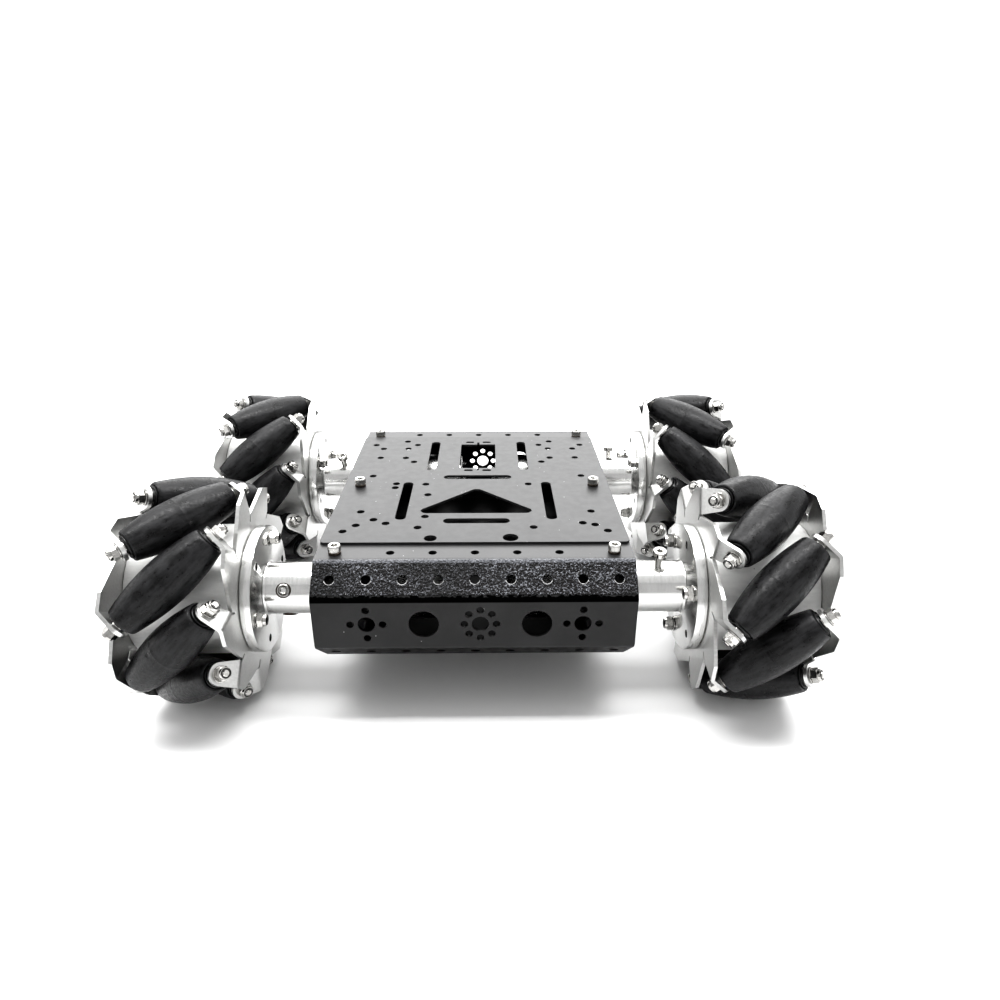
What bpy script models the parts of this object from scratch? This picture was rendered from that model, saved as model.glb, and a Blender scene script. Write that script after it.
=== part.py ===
"""Mecanum wheel robot base: bent sheet chassis, deck plate, four motors and four roller wheels.

Metres, +Z up, floor at z = 0, +X to the robot's right, the front of the robot faces -Y.
"""

import math

import bmesh
import bpy
from mathutils import Matrix, Vector

MM = 0.001

# Wheels
WHEEL_RADIUS = 63.5 * MM
WHEEL_CENTRE_Z = 63.19 * MM
AXLE_X = 154.2 * MM
AXLE_Y = 82.07 * MM
ROLLER_COUNT = 9
ROLLER_AXIS_RADIUS = 51.25 * MM
ROLLER_HALF_LENGTH = 29.0 * MM
ROLLER_SIDES = 10
ROLLER_ANGLE = math.radians(45)
PIN_RADIUS = 1.9 * MM
PIN_HALF_LENGTH = 37.0 * MM
# name: side (-1 left, 1 right), end (-1 front, 1 rear), angle of the first roller, roller slant,
# angle from the first roller to a flange bolt
WHEELS = {
    "front_left": (-1, -1, math.radians(-5.2), 1, math.radians(-1)),
    "front_right": (1, -1, math.radians(-10.8), 1, math.radians(33)),
    "rear_left": (-1, 1, math.radians(4.0), 1, math.radians(41)),
    "rear_right": (1, 1, math.radians(-6.2), -1, math.radians(50)),
}

# Wheel plates with bent tabs, and the drum between them
PLATE_SHEET = 2.0 * MM
PLATE_OFFSET = 29.8 * MM
PLATE_BORE = 10.0 * MM
TAB_BEND_T = 15.5 * MM
TAB_ROOT_INNER = 43.0 * MM
TAB_ROOT_OUTER = 57.5 * MM
TAB_TIP_RADIUS = 6.2 * MM
TAB_HOLE_RADIUS = 2.45 * MM
FLANGE_BOLTS = 6
FLANGE_BOLT_CIRCLE = 28.5 * MM
FLANGE_BOLT_RADIUS = 2.2 * MM
DRUM_RADIUS = 36.4 * MM
DRUM_WALL = 2.5 * MM

# Coupling
BARREL_RADIUS = 14.74 * MM
FLANGE_RADIUS = 35.8 * MM
BARREL_START_X = 87.0 * MM
FLANGE_START_X = 117.2 * MM
FLANGE_END_X = 123.1 * MM
SHAFT_RADIUS = 3.0 * MM
SHAFT_START_X = 66.0 * MM

# Chassis
HALF_WIDTH = 85.5 * MM
SHEET = 2.0 * MM
LIP_Z = 92.9 * MM
LIP_END_Y = 77.0 * MM
BEND_Y = 104.3 * MM
WALL_Y = 119.5 * MM
WALL_TOP_Z = 78.2 * MM
WALL_LOW_Z = 47.9 * MM
BOTTOM_Z = 33.1 * MM
LIP_HOLE_PITCH = 22.8 * MM
LIP_HOLE_INSET = 8.3 * MM
CHAMFER_HOLE_PITCH = 19.0 * MM

# Deck
DECK_LOW_Z = 93.2 * MM
DECK_SHEET = 1.2 * MM
DECK_FRONT_Y = -86.8 * MM
DECK_REAR_Y = 86.8 * MM
SCREW_X = 75.2 * MM
LIP_THROUGH_HOLES = ((-25.0, -82.3, 3.9), (19.6, -81.5, 4.7))
SCREW_YS = (-96.5 * MM, -7.5 * MM, 91.2 * MM)

# Motors
MOTOR_FACE_X = 83.0 * MM
MOTOR_JOIN_X = 42.0 * MM
MOTOR_TAIL_X = 13.0 * MM
MOTOR_END_X = 9.5 * MM
GEARBOX_RADIUS = 18.5 * MM
CAN_RADIUS = 17.6 * MM
TAIL_BOSS_RADIUS = 5.0 * MM
GAP = 0.3 * MM


def clear_scene():
    for obj in list(bpy.data.objects):
        bpy.data.objects.remove(obj, do_unlink=True)
    for mesh in list(bpy.data.meshes):
        bpy.data.meshes.remove(mesh)


clear_scene()
robot = bpy.data.collections.new("mecanum_wheel_robot")
helpers = bpy.data.collections.new("helpers")
bpy.context.scene.collection.children.link(robot)
bpy.context.scene.collection.children.link(helpers)
helpers.hide_render = True


def material(name, colour, metallic, roughness):
    mat = bpy.data.materials.new(name)
    mat.use_nodes = True
    shader = mat.node_tree.nodes["Principled BSDF"]
    shader.inputs["Base Color"].default_value = (*colour, 1.0)
    shader.inputs["Metallic"].default_value = metallic
    shader.inputs["Roughness"].default_value = roughness
    mat.diffuse_color = (*colour, 1.0)
    return mat


ALU = material("bright_aluminium", (0.80, 0.81, 0.82), 0.9, 0.35)
PAINT = material("dark_powder_coat", (0.09, 0.09, 0.10), 0.2, 0.6)
DECK_PAINT = material("grey_deck_coat", (0.22, 0.22, 0.23), 0.2, 0.55)
RUBBER = material("black_rubber", (0.045, 0.045, 0.05), 0.0, 0.65)
STEEL = material("plated_steel", (0.62, 0.62, 0.60), 0.9, 0.4)


def place(name, data, mat, parent=None, matrix=None, smooth=False):
    """Adds the mesh or curve to the robot's collection as one named sub-part."""
    obj = bpy.data.objects.new(name, data)
    robot.objects.link(obj)
    if not data.materials:
        data.materials.append(mat)
    if parent is not None:
        obj.parent = parent
    if matrix is not None:
        obj.matrix_local = matrix
    if smooth:
        for polygon in data.polygons:
            polygon.use_smooth = True
    return obj


def helper(name, data):
    obj = bpy.data.objects.new(name, data)
    helpers.objects.link(obj)
    obj.hide_render = True
    obj.display_type = "WIRE"
    return obj


def evaluated_mesh(obj, name):
    """The object's mesh with its modifiers applied, and the helper object removed."""
    bpy.context.view_layer.update()
    graph = bpy.context.evaluated_depsgraph_get()
    mesh = bpy.data.meshes.new_from_object(obj.evaluated_get(graph), depsgraph=graph)
    mesh.name = name
    bm = bmesh.new()
    bm.from_mesh(mesh)
    bmesh.ops.remove_doubles(bm, verts=bm.verts, dist=0.000005)
    bm.to_mesh(mesh)
    bm.free()
    bpy.data.objects.remove(obj, do_unlink=True)
    return mesh


def ring(cx, cy, radius, sides, turn=0.0):
    """Points of a regular polygon, as a hole or disc outline."""
    points = []
    for i in range(sides):
        angle = turn + 2 * math.pi * i / sides
        points.append((cx + radius * math.cos(angle), cy + radius * math.sin(angle)))
    return points


def slot(x0, y0, x1, y1, half_width, steps=3):
    """Outline of a round-ended slot between two end centres."""
    along = math.atan2(y1 - y0, x1 - x0)
    points = []
    for i in range(steps + 1):
        angle = along - math.pi / 2 + math.pi * i / steps
        points.append((x1 + half_width * math.cos(angle), y1 + half_width * math.sin(angle)))
    for i in range(steps + 1):
        angle = along + math.pi / 2 + math.pi * i / steps
        points.append((x0 + half_width * math.cos(angle), y0 + half_width * math.sin(angle)))
    return points


def rounded(points, radius, steps=2, closed=True):
    """The same outline with each corner cut to an arc of the given radius."""
    out = []
    count = len(points)
    for i in range(count):
        here = Vector(points[i])
        if not closed and i in (0, count - 1):
            out.append(tuple(here))
            continue
        before = Vector(points[i - 1]) - here
        after = Vector(points[(i + 1) % count]) - here
        before.normalize()
        after.normalize()
        half = before.angle(after) / 2
        reach = radius / math.tan(half)
        centre = here + (before + after).normalized() * (radius / math.sin(half))
        start = here + before * reach - centre
        end = here + after * reach - centre
        for k in range(steps + 1):
            mix = start.lerp(end, k / steps).normalized() * radius
            out.append(tuple(centre + mix))
    return out


def flat_curve(name, outlines, thickness):
    """A 2D curve: the first outline is the edge, the others are holes."""
    curve = bpy.data.curves.new(name, "CURVE")
    curve.dimensions = "2D"
    curve.fill_mode = "BOTH"
    curve.extrude = thickness / 2
    curve.resolution_u = 1
    for outline in outlines:
        spline = curve.splines.new("POLY")
        spline.points.add(len(outline) - 1)
        for point, (x, y) in zip(spline.points, outline):
            point.co = (x, y, 0.0, 1.0)
        spline.use_cyclic_u = True
    return curve


def turned(name, profile, sides):
    """A profile of (radius, height) points, from top to bottom, turned about Z with a Screw."""
    mesh = bpy.data.meshes.new(name + "_profile")
    points = [(radius, 0.0, height) for radius, height in profile]
    edges = [(i, i + 1) for i in range(len(points) - 1)]
    mesh.from_pydata(points, edges, [])
    obj = helper(name + "_profile", mesh)
    screw = obj.modifiers.new("turn", "SCREW")
    screw.axis = "Z"
    screw.angle = 2 * math.pi
    screw.steps = sides
    screw.render_steps = sides
    screw.use_merge_vertices = True
    screw.merge_threshold = 0.00001
    return evaluated_mesh(obj, name)


def cylinders(name, items, sides=8):
    """One cutter made of separate cylinders: each item is (centre, direction, radius, length)."""
    bm = bmesh.new()
    for centre, direction, radius, length in items:
        turn = Vector((0, 0, 1)).rotation_difference(Vector(direction)).to_matrix().to_4x4()
        spin = Matrix.Rotation(math.pi / sides, 4, "Z")
        bmesh.ops.create_cone(
            bm,
            cap_ends=True,
            segments=sides,
            radius1=radius,
            radius2=radius,
            depth=length,
            matrix=Matrix.Translation(Vector(centre)) @ turn @ spin,
        )
    mesh = bpy.data.meshes.new(name)
    bm.to_mesh(mesh)
    bm.free()
    return helper(name, mesh)


def cut(obj, cutter, operation="DIFFERENCE"):
    boolean = obj.modifiers.new(cutter.name, "BOOLEAN")
    boolean.operation = operation
    boolean.solver = "EXACT"
    boolean.object = cutter


# ---------------------------------------------------------------- chassis shell
SHEET_LINE = [
    (-LIP_END_Y, LIP_Z),
    (-BEND_Y, LIP_Z),
    (-WALL_Y, WALL_TOP_Z),
    (-WALL_Y, WALL_LOW_Z),
    (-BEND_Y, BOTTOM_Z),
    (BEND_Y, BOTTOM_Z),
    (WALL_Y, WALL_LOW_Z),
    (WALL_Y, WALL_TOP_Z),
    (BEND_Y, LIP_Z),
    (LIP_END_Y, LIP_Z),
]


def inset(line, distance):
    """The open line moved inwards by a distance, with mitred corners."""
    out = []
    for i, point in enumerate(line):
        here = Vector(point)
        normals = []
        for a, b in ((i - 1, i), (i, i + 1)):
            if 0 <= a and b < len(line):
                along = (Vector(line[b]) - Vector(line[a])).normalized()
                normals.append(Vector((-along.y, along.x)))
        normal = sum(normals, Vector((0, 0))).normalized()
        out.append(tuple(here + normal * distance / normal.dot(normals[0])))
    return out


outer_line = rounded(SHEET_LINE, 3.0 * MM, steps=1, closed=False)
inner_line = rounded(inset(SHEET_LINE, SHEET), 1.4 * MM, steps=1, closed=False)
shell_curve = flat_curve("shell_section", [outer_line + inner_line[::-1]], 2 * HALF_WIDTH)
shell_blank = helper("shell_section", shell_curve)
# The section is drawn in the curve's XY plane and stands up along world Y and Z.
section_turn = Matrix(((0, 0, 1, 0), (1, 0, 0, 0), (0, 1, 0, 0), (0, 0, 0, 1)))
shell_mesh = evaluated_mesh(shell_blank, "chassis_shell")
shell_mesh.transform(section_turn)
shell = place("chassis_shell", shell_mesh, PAINT)

wall_items = []
for end in (-1, 1):
    wall_centre = end * (WALL_Y - SHEET / 2)
    wall_z = 62.8 * MM
    for x, count in ((-57.0 * MM, 4), (57.0 * MM, 4), (2.9 * MM, 8)):
        wall_items.append(((x, wall_centre, wall_z), (0, 1, 0), 4.55 * MM, 6 * MM))
        for i in range(count):
            angle = 2 * math.pi * i / count
            hole_x = x + 8.5 * MM * math.cos(angle)
            hole_z = wall_z + 8.5 * MM * math.sin(angle)
            wall_items.append(((hole_x, wall_centre, hole_z), (0, 1, 0), 2.0 * MM, 6 * MM))
    for x in (-26.9 * MM, 32.8 * MM):
        wall_items.append(((x, wall_centre, wall_z), (0, 1, 0), 8.0 * MM, 6 * MM))
cut(shell, cylinders("wall_holes", wall_items))

lip_items = []
for end in (-1, 1):
    for k in range(-2, 3):
        centre = (k * LIP_HOLE_PITCH, end * (BEND_Y - LIP_HOLE_INSET), LIP_Z - SHEET / 2)
        lip_items.append((centre, (0, 0, 1), 2.3 * MM, 6 * MM))
for side in (-1, 1):
    for y in (SCREW_YS[0], SCREW_YS[2]):
        lip_items.append(((side * SCREW_X, y, LIP_Z - SHEET / 2), (0, 0, 1), 2.2 * MM, 6 * MM))
# Two larger front holes go on down through the lip under the deck
for x, y, radius in LIP_THROUGH_HOLES:
    lip_items.append(((x * MM, y * MM, LIP_Z - SHEET / 2), (0, 0, 1), radius * MM, 6 * MM))
cut(shell, cylinders("lip_holes", lip_items))

chamfer_items = []
for end in (-1, 1):
    middle_y = end * ((BEND_Y + WALL_Y) / 2 - 0.7 * MM)
    upper_z = (LIP_Z + WALL_TOP_Z) / 2 - 0.7 * MM
    lower_z = (BOTTOM_Z + WALL_LOW_Z) / 2 + 0.7 * MM
    for k in range(-4, 5):
        x = k * CHAMFER_HOLE_PITCH
        chamfer_items.append(((x, middle_y, upper_z), (0, end, 1), 2.6 * MM, 6 * MM))
        chamfer_items.append(((x, middle_y, lower_z), (0, end, -1), 2.6 * MM, 6 * MM))
cut(shell, cylinders("chamfer_holes", chamfer_items))

# ---------------------------------------------------------------- deck plate
deck_edge = rounded(
    [
        (-HALF_WIDTH, DECK_FRONT_Y),
        (HALF_WIDTH, DECK_FRONT_Y),
        (HALF_WIDTH, DECK_REAR_Y),
        (-HALF_WIDTH, DECK_REAR_Y),
    ],
    3.0 * MM,
    steps=2,
)
deck_outlines = [deck_edge]
window = [(-12.5, 22.8), (12.5, 22.8), (12.5, 70.0), (-12.5, 70.0)]
deck_outlines.append([(x * MM, y * MM) for x, y in window])
triangle = [(-31.0, -49.5), (31.0, -49.5), (34.5, -45.5), (1.8, -13.6), (-1.8, -13.6), (-34.5, -45.5)]
deck_outlines.append([(x * MM, y * MM) for x, y in triangle])
# Holes in mirrored pairs, then the single ones
PAIRED_HOLES = (
    (75.3, 69.1), (69.0, 61.1), (68.9, 42.8), (52.9, 76.6), (44.8, 69.1), (51.0, 61.2),
    (51.0, 42.5), (44.6, 34.7), (69.4, 8.8), (33.3, -5.3), (68.9, -47.2), (68.9, -65.5),
    (75.1, -73.2), (33.2, -68.5),
)
SINGLE_HOLES = (
    (-52.4, -4.4), (-52.5, -10.9), (-30.7, -22.2), (-59.8, -58.1), (-52.1, -63.1), (-30.1, -54.0),
    (62.1, -63.1),
)
for x, y in PAIRED_HOLES:
    for side in (-1, 1):
        deck_outlines.append(ring(side * x * MM, y * MM, 2.3 * MM, 8, math.pi / 8))
for x, y in SINGLE_HOLES:
    deck_outlines.append(ring(x * MM, y * MM, 2.3 * MM, 8, math.pi / 8))
for side in (-1, 1):
    deck_outlines.append(ring(side * SCREW_X, SCREW_YS[1], 2.3 * MM, 8, math.pi / 8))
deck_outlines.append(ring(-25.0 * MM, -82.3 * MM, 3.6 * MM, 8, math.pi / 8))
deck_outlines.append(ring(19.6 * MM, -81.5 * MM, 4.4 * MM, 8, math.pi / 8))
SLOT_HALF = 3.2 * MM
SLOTS = (
    (-31.4, 22.2, -31.4, 72.3), (31.6, 22.2, 31.6, 72.3), (-44.5, -55.0, -44.5, -5.3),
    (44.7, -55.0, 44.7, -5.3), (-19.0, 6.6, 19.5, 6.6), (-15.9, -60.0, 16.6, -60.0),
)
for x0, y0, x1, y1 in SLOTS:
    deck_outlines.append(slot(x0 * MM, y0 * MM, x1 * MM, y1 * MM, SLOT_HALF))
for y in (18.9, 74.9):
    for x in (-6.2, 6.2):
        deck_outlines.append(slot((x - 1.6) * MM, y * MM, (x + 1.6) * MM, y * MM, 1.5 * MM, steps=2))
deck_curve = flat_curve("deck_plate", deck_outlines, DECK_SHEET)
deck = place("deck_plate", deck_curve, DECK_PAINT)
deck.location = (0, 0, DECK_LOW_Z + DECK_SHEET / 2)

# ---------------------------------------------------------------- side channels
CHANNEL_OUT = HALF_WIDTH - 0.2 * MM
CHANNEL_TOP = LIP_Z - SHEET - GAP
CHANNEL_LOW = BOTTOM_Z + SHEET + GAP
CHANNEL_FLANGE = 20.0 * MM
CHANNEL_HALF = 100.0 * MM
for side, word in ((-1, "left"), (1, "right")):
    section = [
        (CHANNEL_OUT - CHANNEL_FLANGE, CHANNEL_LOW),
        (CHANNEL_OUT, CHANNEL_LOW),
        (CHANNEL_OUT, CHANNEL_TOP),
        (CHANNEL_OUT - CHANNEL_FLANGE, CHANNEL_TOP),
        (CHANNEL_OUT - CHANNEL_FLANGE, CHANNEL_TOP - SHEET),
        (CHANNEL_OUT - SHEET, CHANNEL_TOP - SHEET),
        (CHANNEL_OUT - SHEET, CHANNEL_LOW + SHEET),
        (CHANNEL_OUT - CHANNEL_FLANGE, CHANNEL_LOW + SHEET),
    ]
    name = "side_channel_" + word
    blank = helper(name + "_section", flat_curve(name + "_section", [section], 2 * CHANNEL_HALF))
    mesh = evaluated_mesh(blank, name)
    mesh.transform(Matrix.Rotation(math.pi / 2, 4, "X"))
    if side < 0:
        mesh.transform(Matrix.Rotation(math.pi, 4, "Z"))
    channel = place(name, mesh, ALU)
    holes = []
    web_x = side * (CHANNEL_OUT - SHEET / 2)
    for end in (-1, 1):
        holes.append(((web_x, end * AXLE_Y, WHEEL_CENTRE_Z), (1, 0, 0), 8.0 * MM, 6 * MM))
    for y in SCREW_YS:
        holes.append(((side * SCREW_X, y, CHANNEL_TOP - SHEET / 2), (0, 0, 1), 2.2 * MM, 6 * MM))
    cut(channel, cylinders(name + "_holes", holes))

# ---------------------------------------------------------------- motors
motor_profile = [
    (0.0, 63.0 * MM),
    (4.2 * MM, 63.0 * MM),
    (4.2 * MM, 86.0 * MM),
    (6.2 * MM, 86.0 * MM),
    (6.2 * MM, MOTOR_FACE_X),
    (GEARBOX_RADIUS, MOTOR_FACE_X),
    (GEARBOX_RADIUS, MOTOR_JOIN_X),
    (CAN_RADIUS, MOTOR_JOIN_X),
    (CAN_RADIUS, MOTOR_TAIL_X),
    (TAIL_BOSS_RADIUS, MOTOR_TAIL_X),
    (TAIL_BOSS_RADIUS, MOTOR_END_X),
    (0.0, MOTOR_END_X),
]
motor_mesh = turned("motor", motor_profile, 10)
for name, (side, end, first, slant, bolt) in WHEELS.items():
    outward = Matrix.Rotation(side * math.pi / 2, 4, "Y")
    spot = Matrix.Translation((0, end * AXLE_Y, WHEEL_CENTRE_Z)) @ outward
    place("motor_" + name, motor_mesh, STEEL, matrix=spot, smooth=False)

# ---------------------------------------------------------------- wheel pieces
axis_r = ROLLER_AXIS_RADIUS


def barrel_radius(along):
    """Roller radius that keeps the wheel's rolling circle round."""
    return WHEEL_RADIUS - math.sqrt(axis_r**2 + along**2 / 2)


barrel_profile = [(0.0, ROLLER_HALF_LENGTH)]
for along in (29.0, 15.0, 0.0, -15.0, -29.0):
    barrel_profile.append((barrel_radius(along * MM), along * MM))
barrel_profile.append((0.0, -ROLLER_HALF_LENGTH))
barrel_mesh = turned("roller_barrel", barrel_profile, ROLLER_SIDES)
pin = cylinders("roller_pin", [((0, 0, 0), (0, 0, 1), PIN_RADIUS, 2 * PIN_HALF_LENGTH)], sides=6)
barrel = helper("roller_barrel", barrel_mesh)
cut(barrel, pin, "UNION")
roller_mesh = evaluated_mesh(barrel, "roller")
bpy.data.objects.remove(pin, do_unlink=True)

drum_half = PLATE_OFFSET - PLATE_SHEET / 2 - GAP
drum_profile = [
    (DRUM_RADIUS - DRUM_WALL, drum_half),
    (DRUM_RADIUS, drum_half),
    (DRUM_RADIUS, -drum_half),
    (DRUM_RADIUS - DRUM_WALL, -drum_half),
    (DRUM_RADIUS - DRUM_WALL, drum_half),
]
drum_mesh = turned("drum", drum_profile, 18)

coupling_profile = [
    (0.0, FLANGE_END_X),
    (FLANGE_RADIUS, FLANGE_END_X),
    (FLANGE_RADIUS, FLANGE_START_X),
    (BARREL_RADIUS, FLANGE_START_X),
    (BARREL_RADIUS, BARREL_START_X),
    (SHAFT_RADIUS, BARREL_START_X),
    (SHAFT_RADIUS, SHAFT_START_X),
    (0.0, SHAFT_START_X),
]
coupling_profile = [(r, h - AXLE_X) for r, h in coupling_profile]
coupling_blank = helper("coupling_blank", turned("coupling_blank", coupling_profile, 16))
bolt_items = []
for i in range(FLANGE_BOLTS):
    angle = 2 * math.pi * (i + 0.5) / FLANGE_BOLTS
    centre = (
        FLANGE_BOLT_CIRCLE * math.cos(angle),
        FLANGE_BOLT_CIRCLE * math.sin(angle),
        (FLANGE_START_X + FLANGE_END_X) / 2 - AXLE_X,
    )
    bolt_items.append((centre, (0, 0, 1), FLANGE_BOLT_RADIUS, 9 * MM))
bolt_cutter = cylinders("flange_holes", bolt_items, sides=6)
cut(coupling_blank, bolt_cutter)
coupling_mesh = evaluated_mesh(coupling_blank, "coupling")
bpy.data.objects.remove(bolt_cutter, do_unlink=True)


def filled_surface(name, outlines):
    """A flat open surface, with holes, as a mesh in the XY plane."""
    curve = flat_curve(name, outlines, 0.0)
    return evaluated_mesh(helper(name, curve), name)


def wheel_plate(name, end, lean, bolt):
    """One pinwheel plate, its nine tabs bent towards the wheel's middle.

    It is drawn in the wheel's frame: X along the axle, the first roller towards -Y. The end
    is -1 or 1 along X. The lean is the side, along the turn, that the tabs point to. The bolt
    is the angle from the first roller to a flange bolt.
    """
    # Tooth outline as (radial, tangential) in the frame of its own roller: a straight trailing
    # edge, the bend line, and the narrow relief slot at the bend's inner end
    tooth = [
        (42.0, -15.2),
        (57.0, 5.5),
        (TAB_ROOT_OUTER / MM, TAB_BEND_T / MM),
        (TAB_ROOT_INNER / MM, TAB_BEND_T / MM),
        (39.43, 12.0),
        (38.77, 12.8),
    ]
    edge = []
    for k in range(ROLLER_COUNT):
        turn = 2 * math.pi * k / ROLLER_COUNT
        for radial, across in tooth:
            r = radial * MM
            t = across * MM
            edge.append((r * math.cos(turn) - t * math.sin(turn), r * math.sin(turn) + t * math.cos(turn)))
    outlines = [edge, ring(0, 0, PLATE_BORE, 12)]
    for i in range(FLANGE_BOLTS):
        angle = lean * (bolt + 2 * math.pi * i / FLANGE_BOLTS)
        spot = (FLANGE_BOLT_CIRCLE * math.cos(angle), FLANGE_BOLT_CIRCLE * math.sin(angle))
        outlines.append(ring(spot[0], spot[1], FLANGE_BOLT_RADIUS, 6))
    flat = filled_surface(name + "_flat", outlines)
    bend_to_bolt = (PLATE_OFFSET - TAB_BEND_T) / 2 * math.sqrt(2)
    tab_edge = [(0.0, TAB_ROOT_OUTER)]
    tab_edge.append((0.0, TAB_ROOT_INNER))
    for angle in (-85, -30, 30, 85):
        tab_edge.append(
            (
                bend_to_bolt + TAB_TIP_RADIUS * math.cos(math.radians(angle)),
                axis_r + TAB_TIP_RADIUS * math.sin(math.radians(angle)),
            )
        )
    tab = filled_surface(name + "_tab", [tab_edge, ring(bend_to_bolt, axis_r, TAB_HOLE_RADIUS, 6)])
    bm = bmesh.new()
    # Drawn with the radial direction on +X and the turn on +Y; the wheel wants -Y and lean * Z.
    to_wheel = Matrix(((0, 0, end, end * PLATE_OFFSET), (-1, 0, 0, 0), (0, lean, 0, 0), (0, 0, 0, 1)))
    flat.transform(to_wheel)
    bm.from_mesh(flat)
    step = math.sqrt(0.5)
    # Tab surface: its first axis leaves the bend line at 45 degrees, its second is radial.
    to_tab = Matrix(
        (
            (-end * step, 0, 0, end * PLATE_OFFSET),
            (0, -1, 0, 0),
            (lean * step, 0, 0, lean * TAB_BEND_T),
            (0, 0, 0, 1),
        )
    )
    for k in range(ROLLER_COUNT):
        turned_tab = tab.copy()
        spin = Matrix.Rotation(-lean * 2 * math.pi * k / ROLLER_COUNT, 4, "X")
        for vertex in turned_tab.vertices:
            vertex.co = spin @ (to_tab @ vertex.co)
        bm.from_mesh(turned_tab)
    bmesh.ops.remove_doubles(bm, verts=bm.verts, dist=0.00005)
    bmesh.ops.recalc_face_normals(bm, faces=bm.faces)
    mesh = bpy.data.meshes.new(name)
    bm.to_mesh(mesh)
    bm.free()
    sheet = helper(name, mesh)
    thick = sheet.modifiers.new("sheet", "SOLIDIFY")
    thick.thickness = PLATE_SHEET
    thick.offset = 0.0
    thick.use_even_offset = True
    return evaluated_mesh(sheet, name)


for name, (side, end, first, slant, bolt) in WHEELS.items():
    hub = bpy.data.objects.new("wheel_" + name, None)
    robot.objects.link(hub)
    hub.location = (side * AXLE_X, end * AXLE_Y, WHEEL_CENTRE_Z)
    hub.rotation_euler = (-first, 0, 0)
    outward = Matrix.Rotation(side * math.pi / 2, 4, "Y")
    # The coupling's own holes start one step round from the first roller.
    bolt_turn = Matrix.Rotation(-bolt, 4, "X")
    place("coupling_" + name, coupling_mesh, ALU, parent=hub, matrix=bolt_turn @ outward)
    place("drum_" + name, drum_mesh, ALU, parent=hub, matrix=outward, smooth=True)
    for word, face in (("inner", -side), ("outer", side)):
        plate_name = "plate_" + word + "_" + name
        plate = wheel_plate(plate_name, face, face * slant, bolt)
        place(plate_name, plate, ALU, parent=hub)
    for k in range(ROLLER_COUNT):
        spin = Matrix.Rotation(-2 * math.pi * k / ROLLER_COUNT, 4, "X")
        seat = Matrix.Translation((0, -axis_r, 0))
        # The roller's own Z lies at 45 degrees between the axle and the direction of travel.
        along = Vector((math.cos(ROLLER_ANGLE), 0, slant * math.sin(ROLLER_ANGLE)))
        out = Vector((0, -1, 0))
        across = along.cross(out)
        frame = Matrix((out, across, along)).transposed().to_4x4()
        flat_turn = Matrix.Rotation(math.pi / ROLLER_SIDES, 4, "Z")
        matrix = spin @ seat @ frame @ flat_turn
        place("roller_%s_%d" % (name, k + 1), roller_mesh, RUBBER, parent=hub, matrix=matrix)

bpy.context.view_layer.update()
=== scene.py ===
"""Looks for the mecanum wheel robot base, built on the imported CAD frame.

Metres, +Z up, floor at z = 0, +X to the robot's right, the front of the robot faces -Y.
"""

import math

import bmesh
import bpy
from mathutils import Matrix, Vector


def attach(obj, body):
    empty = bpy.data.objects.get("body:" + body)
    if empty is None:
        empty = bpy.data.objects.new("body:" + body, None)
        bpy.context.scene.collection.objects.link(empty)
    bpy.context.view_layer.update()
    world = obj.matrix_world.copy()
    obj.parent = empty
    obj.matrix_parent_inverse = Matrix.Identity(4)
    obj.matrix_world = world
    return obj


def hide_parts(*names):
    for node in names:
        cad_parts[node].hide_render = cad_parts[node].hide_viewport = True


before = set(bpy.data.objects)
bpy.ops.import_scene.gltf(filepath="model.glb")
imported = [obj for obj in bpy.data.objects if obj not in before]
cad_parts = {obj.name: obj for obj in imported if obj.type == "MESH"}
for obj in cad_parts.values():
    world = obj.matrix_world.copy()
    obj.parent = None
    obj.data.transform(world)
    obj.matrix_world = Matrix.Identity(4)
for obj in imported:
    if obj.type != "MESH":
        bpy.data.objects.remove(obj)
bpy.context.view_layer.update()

MM = 0.001

# Wheels, as in the CAD
WHEEL_RADIUS = 63.5
WHEEL_CENTRE_Z = 63.19
AXLE_X = 154.2
AXLE_Y = 82.07
ROLLER_COUNT = 9
AXIS_RADIUS = 51.25
# name: side, end, angle of the first roller, roller slant, angle of the first flange bolt
WHEELS = {
    "front_left": (-1, -1, -5.2, 1, -1.0),
    "front_right": (1, -1, -10.8, 1, 33.0),
    "rear_left": (-1, 1, 4.0, 1, 41.0),
    "rear_right": (1, 1, -6.2, -1, 50.0),
}
PLATE_SHEET = 2.0
PLATE_OFFSET = 29.8
PLATE_BORE = 10.0
TAB_BEND_T = 15.5
TAB_ROOT_INNER = 43.0
TAB_ROOT_OUTER = 57.5
TAB_TIP_RADIUS = 6.2
FLANGE_CIRCLE = 28.5
FLANGE_HOLES = 6
FLANGE_BOLTS = 3
DRUM_RADIUS = 36.4
BARREL_RADIUS = 14.74
FLANGE_RADIUS = 35.8
BARREL_START_X = 87.0
FLANGE_START_X = 117.2
FLANGE_END_X = 123.1
SHAFT_START_X = 66.0
SHAFT_RADIUS = 3.0

# Chassis, as in the CAD
HALF_WIDTH = 85.5
SHEET = 2.0
LIP_Z = 92.9
LIP_END_Y = 77.0
BEND_Y = 104.3
WALL_Y = 119.5
WALL_TOP_Z = 78.2
WALL_LOW_Z = 47.9
BOTTOM_Z = 33.1
DECK_LOW_Z = 93.2
DECK_SHEET = 1.2
DECK_FRONT_Y = -86.8
DECK_REAR_Y = 86.8
SCREW_X = 75.2
SCREW_YS = (-96.5, -7.5, 91.2)
CHANNEL_FLANGE = 20.0
CHANNEL_LENGTH = 200.0
CASE_SCREW_CIRCLE = 15.5

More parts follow.
